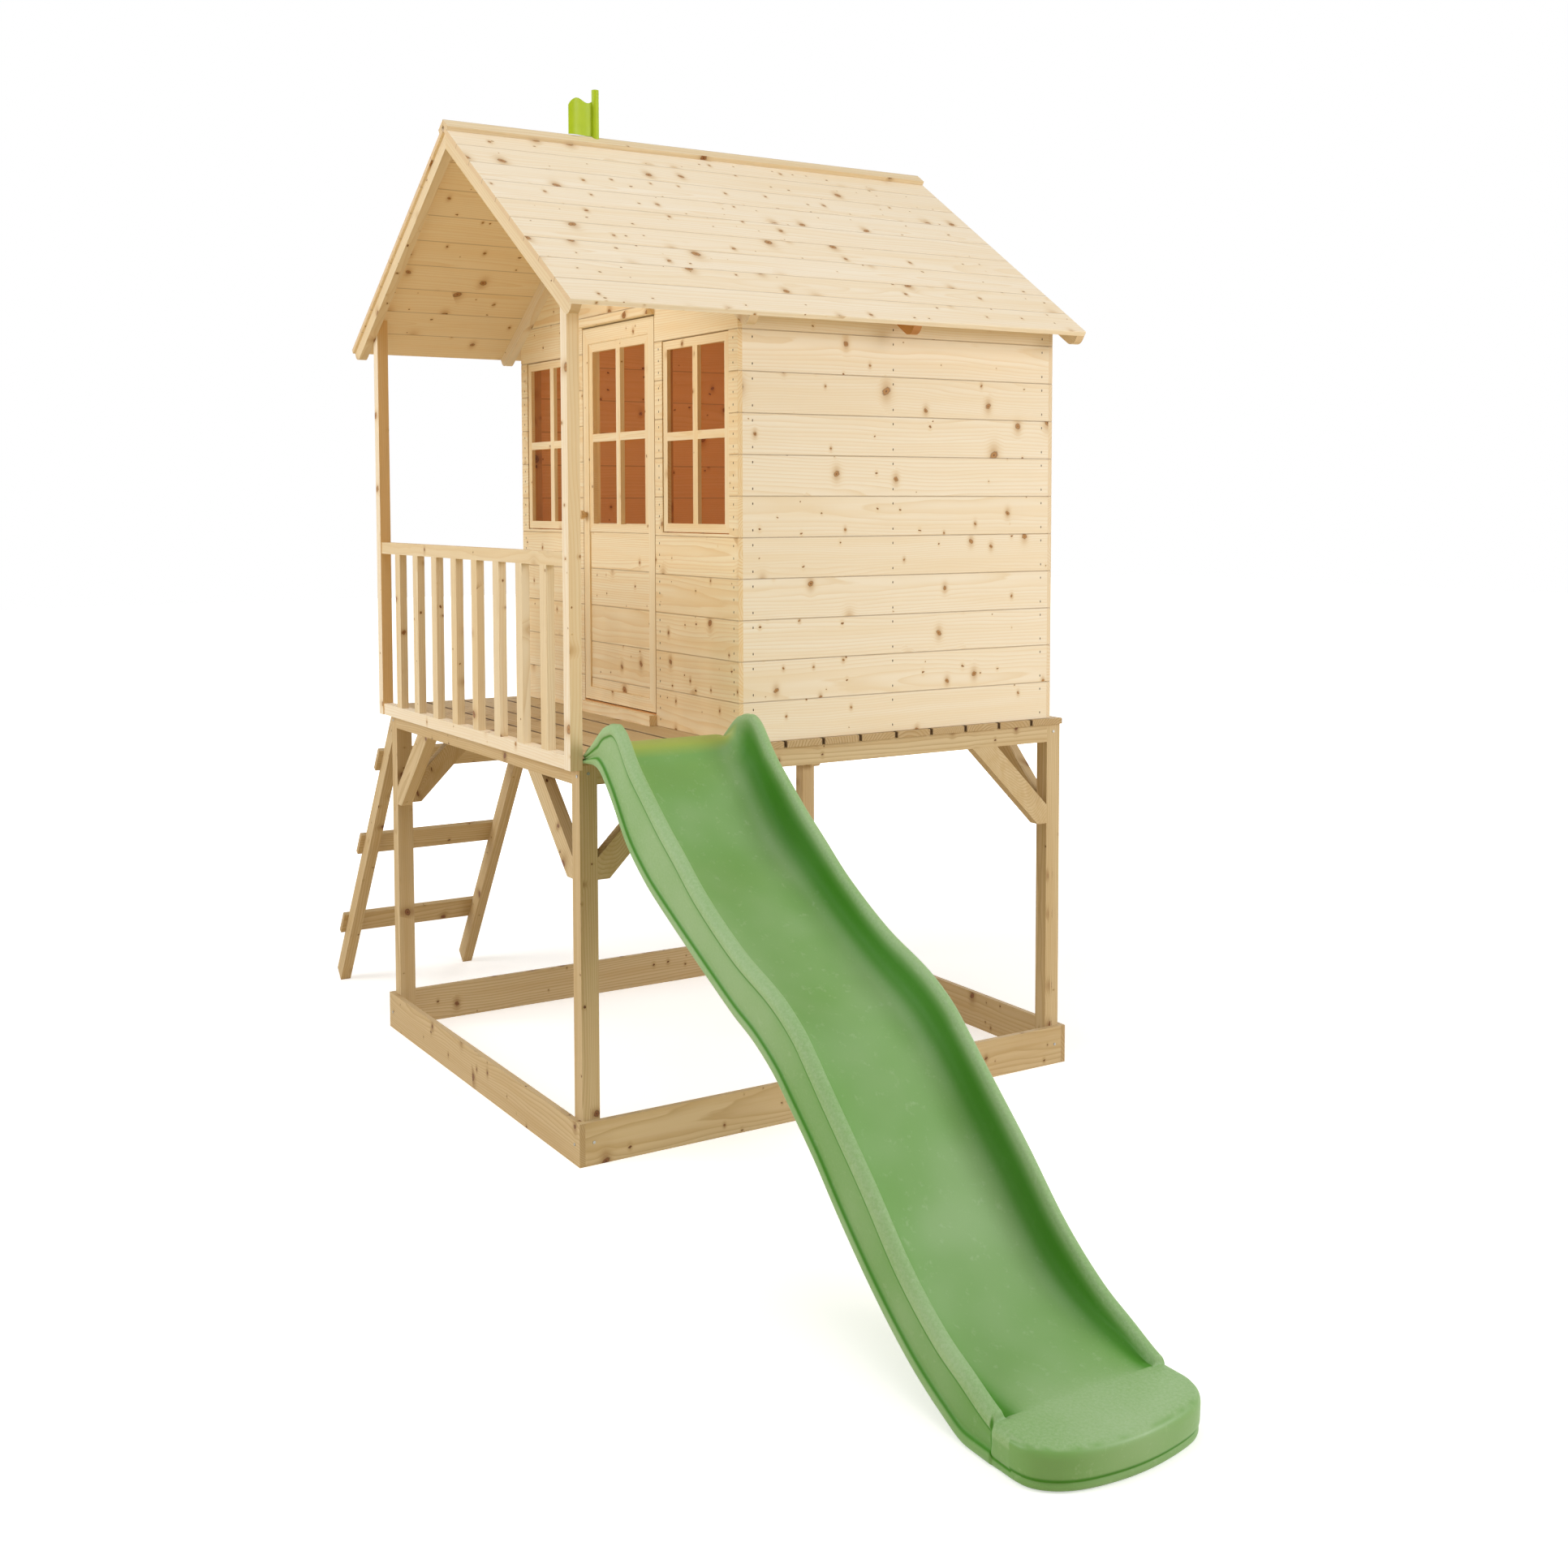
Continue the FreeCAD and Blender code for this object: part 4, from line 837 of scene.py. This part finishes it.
# places in one loop, and rows of the tube up to the end of the lip and of the rims
topCount = 2 * (len(slideShape["rimTop"]) + slideShape["filletSteps"] + len(slideShape["channelShares"])) - 1
sideCount = len(slideShape["shoulder"]) + 1 + len(slideShape["ledge"])
underStart = topCount + sideCount
underEnd = underStart + topCount
loopCount = underEnd + sideCount
slideRuns = sectionRuns()
lipRows = len(slideShape["lipRuns"])
rimRows = lipRows + len(slideRuns)
footPlan = [Vector((slideReach * x, slideWidth * y, 0)) for x, y in slideShape["footPlan"]]
footFront = curvedOutline(footPlan, topCount)

# the uneven tops of the wings
slideDents = {"start": 0.115, "length": 0.12, "depth": 0.0034, "waves": ((263, 0.0, 1.0), (431, 1.0, 0.7)),
              "shares": (0.4, 1.0, 0.9, 0.4), "aside": 0.8, "down": 1.1}


def dented(run, top):
    dents = slideDents
    part = (run - dents["start"]) / dents["length"]
    if not 0 < part < 1:
        return top
    waves = sum(share * math.sin(run * pace + late) for pace, late, share in dents["waves"])
    shake = dents["depth"] * math.sin(math.pi * part) * waves
    worn = []
    for share, (across, height) in zip(dents["shares"], top):
        worn.append((across + shake * share * dents["aside"], height - abs(shake * share) * dents["down"]))
    return worn + top[len(worn):]


def footRing(straight, share):
    # one row of the foot, on the way from its straight start to its rounded front
    outer, inner = slideShape["rimTopFoot"][:2]
    drop = 0.0
    if share > slideShape["footEdgeFrom"]:
        drop = outer[1] if share == 1.0 else inner[1]
    ring = []
    for spot, place in enumerate(straight):
        level = place.z
        if spot < topCount:
            corner, inwards = footFront[spot]
            goal = corner + inwards * outer[0]
            level -= drop
        elif spot < underStart:
            goal = Vector((footPlan[-1].x, place.y, 0))
        elif spot < underEnd:
            corner, inwards = footFront[underEnd - 1 - spot]
            goal = corner + inwards * inner[0]
        else:
            goal = Vector((footPlan[0].x, place.y, 0))
        moved = place.lerp(goal, share)
        ring.append(Vector((moved.x, moved.y, level)))
    return ring


def endRows(ring, inner):
    # a grid that closes one end of the tube; inner gives the places between its top and its underside
    nearSide = list(reversed(ring[underEnd:]))
    farSide = ring[topCount:underStart]
    under = list(reversed(ring[underStart:underEnd]))
    rows = [[nearSide[0]] + ring[:topCount] + [farSide[0]]]
    for level in range(sideCount):
        middle = [inner(level, spot, ring[spot], under[spot]) for spot in range(topCount)]
        rows.append([nearSide[level]] + middle + [farSide[level]])
    rows.append([nearSide[-1]] + under + [farSide[-1]])
    return rows


# paint on the slide: a paler band on the rims and the foot, which on the sides fades down the slide as
# painted shade; painted shade in the creases, on the channel walls and at the seam; and a painted yellowish
# reflection of the wood on the lip;
# levels count down the side, depths count inwards from the rim, and rows count down the slide
slideMarks = {
    "bandDepth": 4, "bandLevels": 3, "sideBand": 0.65, "sideBandShade": 0.55, "sideFrom": 20,
    "sideCreaseShade": {3: 1.0, 4: 0.3, 9: 0.6, 10: 1.0}, "faceLevels": (4, 8), "faceShade": 0.4,
    "seamLevels": 10, "seamShade": 0.9,
    "channelWallShade": {5: 0.5, 6: 0.9, 7: 0.95, 8: 0.85, 9: 0.5, 10: 0.25, 11: 0.08},
    "channelFrom": 14, "channelFade": 14, "footBefore": 9, "footFade": 11, "lipReflectionBeyond": 19, "lipReflectionFade": 5,
    "frontStepShade": (9, 10),
}


def tubeMarks(row, column):
    # (band, crease shade, lip reflection) of one place of the tube; the crease shade and the lip reflection
    # are painted light
    marks = slideMarks
    spot = column % loopCount
    deep = min(spot if spot < topCount else loopCount - spot, abs(topCount - 1 - spot))
    level = None
    if topCount <= spot < underStart:
        level = spot - topCount
    elif spot >= underEnd:
        level = loopCount - 1 - spot
    band = 1.0 if deep <= marks["bandDepth"] else 0.0
    creaseShade = 0.0
    lip = 0.0
    if level is not None:
        # on the sides the band fades and the face darkens down the slide: painted shade, darker towards the
        # bottom
        downwards = limited((row - lipRows - marks["sideFrom"]) / (rimRows - lipRows - marks["sideFrom"]))
        band = 1.0 if level < marks["bandLevels"] else marks["sideBand"] - marks["sideBandShade"] * downwards
        creaseShade = marks["sideCreaseShade"].get(level, 0.0)
        if marks["faceLevels"][0] <= level <= marks["faceLevels"][1]:
            creaseShade = max(creaseShade, marks["faceShade"] * downwards)
        if row >= rimRows and level <= marks["faceLevels"][1]:
            creaseShade = 0.0
        if level < marks["seamLevels"] and row in (rimRows - 1, rimRows):
            creaseShade = marks["seamShade"]
    elif spot < topCount and deep > marks["bandDepth"]:
        if row < rimRows:
            # painted shade on the channel walls, fading in past the wings
            faded = limited((row - lipRows - marks["channelFrom"]) / marks["channelFade"])
            creaseShade = marks["channelWallShade"].get(deep, 0.0) * faded
        fade = limited((row - rimRows + marks["footBefore"]) / marks["footFade"])
        band = fade * fade * (3 - 2 * fade)
        # painted reflection of the warm wood on the lip, fading out down the slide
        lip = limited((lipRows + marks["lipReflectionBeyond"] - row) / marks["lipReflectionFade"])
    return (band, creaseShade, lip, 1.0)


# the foot's front gets painted shade along two rows at the step of its ledge
def frontMarks(row, column):
    return (0.0, 1.0 if row in slideMarks["frontStepShade"] else 0.0, 0.0, 1.0)


# the rear end is painted all over with the lip's painted reflection
def rearMarks(row, column):
    return (0.0, 0.0, 1.0, 1.0)


def markedGrid(name, rows, rule):
    # a grid primitive whose corners are set down on the rows of places and painted by the rule
    width = len(rows[0])
    bpy.ops.mesh.primitive_grid_add(x_subdivisions=width - 1, y_subdivisions=len(rows) - 1, size=1,
                                    location=(0, 0, 0))
    grid = bpy.context.object
    grid.name = name
    marks = grid.data.color_attributes.new("marks", "FLOAT_COLOR", "POINT")
    for number, corner in enumerate(grid.data.vertices):
        row, column = number // width, number % width
        corner.co = rows[row][column]
        marks.data[number].color = rule(row, column)
    return grid


def joinPieces(pieces):
    bpy.ops.object.select_all(action="DESELECT")
    for piece in pieces:
        piece.select_set(True)
    bpy.context.view_layer.objects.active = pieces[0]
    bpy.ops.object.join()
    return bpy.context.object


def coat(piece, material):
    bpy.ops.object.shade_smooth()
    piece.data.materials.clear()
    piece.data.materials.append(material)


def buildSlide():
    shape = slideShape
    rows = []
    for lipRun in shape["lipRuns"]:
        run = lipRun - shape["lipReach"] + shape["lipBack"]
        rows.append(slideRing(run, *slideSection(run)))
    for run in slideRuns:
        top, side, baseAt = slideSection(run)
        rows.append(slideRing(run, dented(run, top), side, baseAt))
    seamAt = shape["rimEnd"] + shape["seamWidth"]
    rows.append(slideRing(seamAt, *slideSection(seamAt, 1.0, shape["seamDepth"])))
    footStart = shape["rimEnd"] + 2 * shape["seamWidth"]
    top, side, baseAt = slideSection(footStart, 1.0)
    straight = slideRing(footStart, top, side, baseAt)
    rows.append(straight)
    for share in shape["footRows"]:
        rows.append(footRing(straight, share))
    tube = [row + [row[0]] for row in rows]

    def frontPlace(level, spot, above, below):
        corner, inwards = footFront[spot]
        place = corner + inwards * side[level][0]
        return Vector((place.x, place.y, side[level][1]))

    def rearPlace(level, spot, above, below):
        return above.lerp(below, (level + 1) / (sideCount + 1))

    origin = Vector((slideBack, slideLow.y, 0))
    pieces = []
    for name, places, rule in (
        ("slideTube", tube, tubeMarks),
        ("slideFront", endRows(rows[-1], frontPlace), frontMarks),
        ("slideRear", endRows(rows[0], rearPlace), rearMarks),
    ):
        pieces.append(markedGrid(name, [[place + origin for place in row] for row in places], rule))
    slide = joinPieces(pieces)
    slide.name = "slide_moulding"
    bpy.ops.object.mode_set(mode="EDIT")
    bpy.ops.mesh.select_all(action="SELECT")
    bpy.ops.mesh.remove_doubles(threshold=shape["weld"])
    bpy.ops.mesh.dissolve_degenerate(threshold=shape["sliver"])
    bpy.ops.mesh.normals_make_consistent(inside=False)
    bpy.ops.object.mode_set(mode="OBJECT")
    smoother = slide.modifiers.new("smoother", "SUBSURF")
    smoother.levels = 1
    smoother.render_levels = 1
    bpy.ops.object.modifier_apply(modifier="smoother")
    coat(slide, slidePlastic)
    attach(slide, "house")
    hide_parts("slide")
    return slide


slideMoulding = buildSlide()
bpy.ops.object.select_all(action="DESELECT")
print("stilt playhouse: slide moulded,", len(slideMoulding.data.polygons), "faces")

# nails: small dark heads, sunk in the boards; one is modelled and the rest are copies of it
nailShape = {"radius": 0.0019, "height": 0.0041, "proud": 0.0007, "sides": 10, "rings": 6}
# places along the walls and the roof are counted from the front of the stilts, and shares from a board's edge
nailRows = {
    "wallColumns": (0.581, 1.098, 1.705), "wallShares": (0.18, 0.82), "backInset": 0.05,
    "frontInset": 0.028, "frontShares": (0.2, 0.5, 0.8), "leastBoard": 0.2,
    "roofLines": (-0.053, 0.515, 1.105, 1.765), "roofBoards": 9, "roofShares": (0.25, 0.72),
    "roofWander": 0.004, "wanderPaces": (37, 91, 13),
}


def nailHead(name, place, facing, upright):
    sides, rings = nailShape["sides"], nailShape["rings"]
    bpy.ops.mesh.primitive_uv_sphere_add(segments=sides, ring_count=rings, radius=1.0)
    head = bpy.context.object
    head.name = name
    out = Vector(facing).normalized()
    up = Vector(upright).normalized()
    turn = Matrix((out.cross(up), up, out)).transposed().to_4x4()
    size = Matrix.Diagonal((nailShape["radius"], nailShape["height"], nailShape["proud"], 1))
    head.data.transform(Matrix.Translation(place) @ turn @ size)
    return head


def boardNails(name, places, facing, upright):
    # copies of one nail head, joined to one piece
    first = nailHead(name, Vector(places[0]), facing, upright)
    heads = [first]
    for place in places[1:]:
        head = first.copy()
        head.data = first.data.copy()
        head.data.transform(Matrix.Translation(Vector(place) - Vector(places[0])))
        bpy.context.collection.objects.link(head)
        heads.append(head)
    piece = joinPieces(heads)
    coat(piece, nailSteel)
    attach(piece, "house")


def rowsUp(top, shares):
    # heights of the nails in each board of a wall
    heights = []
    board = 0
    while deckTop + (board + nailRows["leastBoard"]) * sizes["wallCover"] < top:
        levels = [deckTop + (board + share) * sizes["wallCover"] for share in shares]
        heights.extend(level for level in levels if level < top)
        board += 1
    return heights


def wallNails():
    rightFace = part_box("right_wall_boards")[1].x
    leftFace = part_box("left_wall_boards")[0].x
    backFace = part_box("back_wall_boards")[1].y
    heights = rowsUp(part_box("right_wall_boards")[1].z, nailRows["wallShares"])
    columns = [stiltFront + place for place in nailRows["wallColumns"]]
    for side, face, facing in (("right", rightFace, (1, 0, 0)), ("left", leftFace, (-1, 0, 0))):
        places = [(face, y, z) for y in columns for z in heights]
        boardNails("nails_" + side + "_wall", places, facing, alongZ)
    columns = [leftFace + nailRows["backInset"], houseMiddle, rightFace - nailRows["backInset"]]
    boardNails("nails_back_wall", [(x, backFace, z) for x in columns for z in heights], (0, 1, 0), alongZ)
    for side in ("left", "right"):
        low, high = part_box("front_boards_" + side)
        columns = (low.x + nailRows["frontInset"], high.x - nailRows["frontInset"])
        places = [(x, low.y, z) for x in columns for z in rowsUp(high.z, nailRows["frontShares"])]
        boardNails("nails_front_" + side, places, (0, -1, 0), alongZ)


def roofNails():
    skin = roofApex + Vector((0, 0, roofRise))
    lines = [stiltFront + place for place in nailRows["roofLines"]]
    for side, down in (("right", Vector(slopeDown)), ("left", Vector(slopeDownLeft))):
        out = Vector((-down.z * (1 if down.x > 0 else -1), 0, abs(down.x)))
        places = []
        for line in lines:
            for board in range(nailRows["roofBoards"]):
                for share in nailRows["roofShares"]:
                    place = skin + down * (board + share) * sizes["roofCover"]
                    turn = sum(pace * at for pace, at in zip(nailRows["wanderPaces"], (board, line, share)))
                    places.append((place.x, line + nailRows["roofWander"] * math.sin(turn), place.z))
        boardNails("nails_roof_" + side, places, out, down)


wallNails()
roofNails()
bpy.ops.object.select_all(action="DESELECT")
print("stilt playhouse: nails driven")

studio = {
    "lamps": {
        "frontLamp": {"place": (-2.2, -9.0, 5.0), "target": (-0.4, -0.6, 1.4), "size": 5.0, "power": 455.0},
        "rightLamp": {"place": (7.2, 4.6, 4.2), "target": (0.1, 0.3, 1.6), "size": 4.5, "power": 440.0},
        "topLamp": {"place": (1.5, -2.0, 8.0), "target": (0.2, -0.2, 1.0), "size": 5.0, "power": 168.0},
        "backLamp": {"place": (-7.5, 6.0, 4.5), "target": (-0.6, 0.3, 1.6), "size": 4.0, "power": 150.0},
    },
    "sky": 0.24,
    "ambient": (1.0, 0.9, 0.72, 1),
    "bounce": (0.92, 0.79, 0.57, 1),
    "floorSize": 60,
    "floorWhite": (0.9, 0.9, 0.9, 1),
    "glow": {"near": 2.6, "far": 6.0, "low": 0.5, "high": 1.1},
    "inside": {"place": (0.15, 0.25, 2.15), "power": 4.6, "radius": 0.3, "tint": (1.0, 0.86, 0.5)},
}
white = (1, 1, 1, 1)
for name, lamp in studio["lamps"].items():
    bpy.ops.object.light_add(type="AREA", location=lamp["place"])
    light = bpy.context.object
    light.name = name
    light.data.shape = "SQUARE"
    light.data.size = lamp["size"]
    light.data.energy = lamp["power"]
    light.rotation_euler = (Vector(lamp["target"]) - light.location).to_track_quat("-Z", "Y").to_euler()

# a warm lamp inside the house, in place of the daylight that comes through the open parts of the real one
inside = studio["inside"]
bpy.ops.object.light_add(type="POINT", location=Vector(inside["place"]) + Vector((houseMiddle, 0, 0)))
insideLamp = bpy.context.object
insideLamp.name = "insideLamp"
insideLamp.data.energy = inside["power"]
insideLamp.data.shadow_soft_size = inside["radius"]
insideLamp.data.color = inside["tint"]

# the sky is white to the eye and in the panes, but lights the model only weakly
world = bpy.data.worlds.new("studioWorld")
scene.world = world
world.use_nodes = True
rays = newNode("LightPath", tree=world.node_tree).outputs
seen = maths("MAXIMUM", rays["Is Glossy Ray"], rays["Is Transmission Ray"])
seen = maths("MAXIMUM", rays["Is Camera Ray"], seen)
feedAll(world.node_tree.nodes["Background"].inputs, {
    "Color": blendColours(seen, studio["ambient"], white),
    "Strength": plus(studio["sky"], times(seen, 1.0 - studio["sky"])),
})

# the floor glows to white with distance, so that no horizon shows; near the model it keeps its shadow
bpy.ops.mesh.primitive_plane_add(size=studio["floorSize"], location=(0, 0, 0))
floor = bpy.context.object
floor.name = "studio_floor"
floorMaterial, floorShader, floorPlace = newMaterial("studio_floor_white")
rays = newNode("LightPath", tree=floorMaterial.node_tree).outputs
seen = maths("MAXIMUM", rays["Is Camera Ray"], rays["Is Glossy Ray"])
away = newNode("VectorMath", {0: floorPlace["Object"]})
away.operation = "LENGTH"
glow = studio["glow"]
glowing = ramp(away.outputs["Value"], glow["near"], glow["far"], glow["low"], glow["high"])
feedAll(floorShader, {
    "Base Color": blendColours(seen, studio["bounce"], studio["floorWhite"]), "Roughness": 0.9,
    "Specular IOR Level": 0.0, "Emission Color": white, "Emission Strength": times(seen, glowing),
})
floor.data.materials.append(floorMaterial)

# the camera stands where the photograph was taken from
view = {"place": (4.6893, -2.9890, 1.9182), "yaw": 58.233, "pitch": -3.49, "roll": -0.114,
        "focal": 2156.1, "frame": 1932, "level": 751.8, "sensor": 36}
bpy.ops.object.camera_add(location=view["place"])
camera = bpy.context.object
camera.name = "photoCamera"
tiltUp = math.radians(90 + view["pitch"])
camera.rotation_mode = "XYZ"
aim = Matrix.Rotation(math.radians(view["yaw"]), 4, "Z") @ Matrix.Rotation(tiltUp, 4, "X")
camera.rotation_euler = (aim @ Matrix.Rotation(math.radians(view["roll"]), 4, "Z")).to_euler("XYZ")
camera.data.sensor_width = view["sensor"]
camera.data.lens = view["sensor"] * view["focal"] / view["frame"]
camera.data.shift_y = -(view["frame"] / 2 - view["level"]) / view["frame"]
scene.camera = camera
scene.view_settings.view_transform = "Standard"
print("stilt playhouse: studio and camera set")
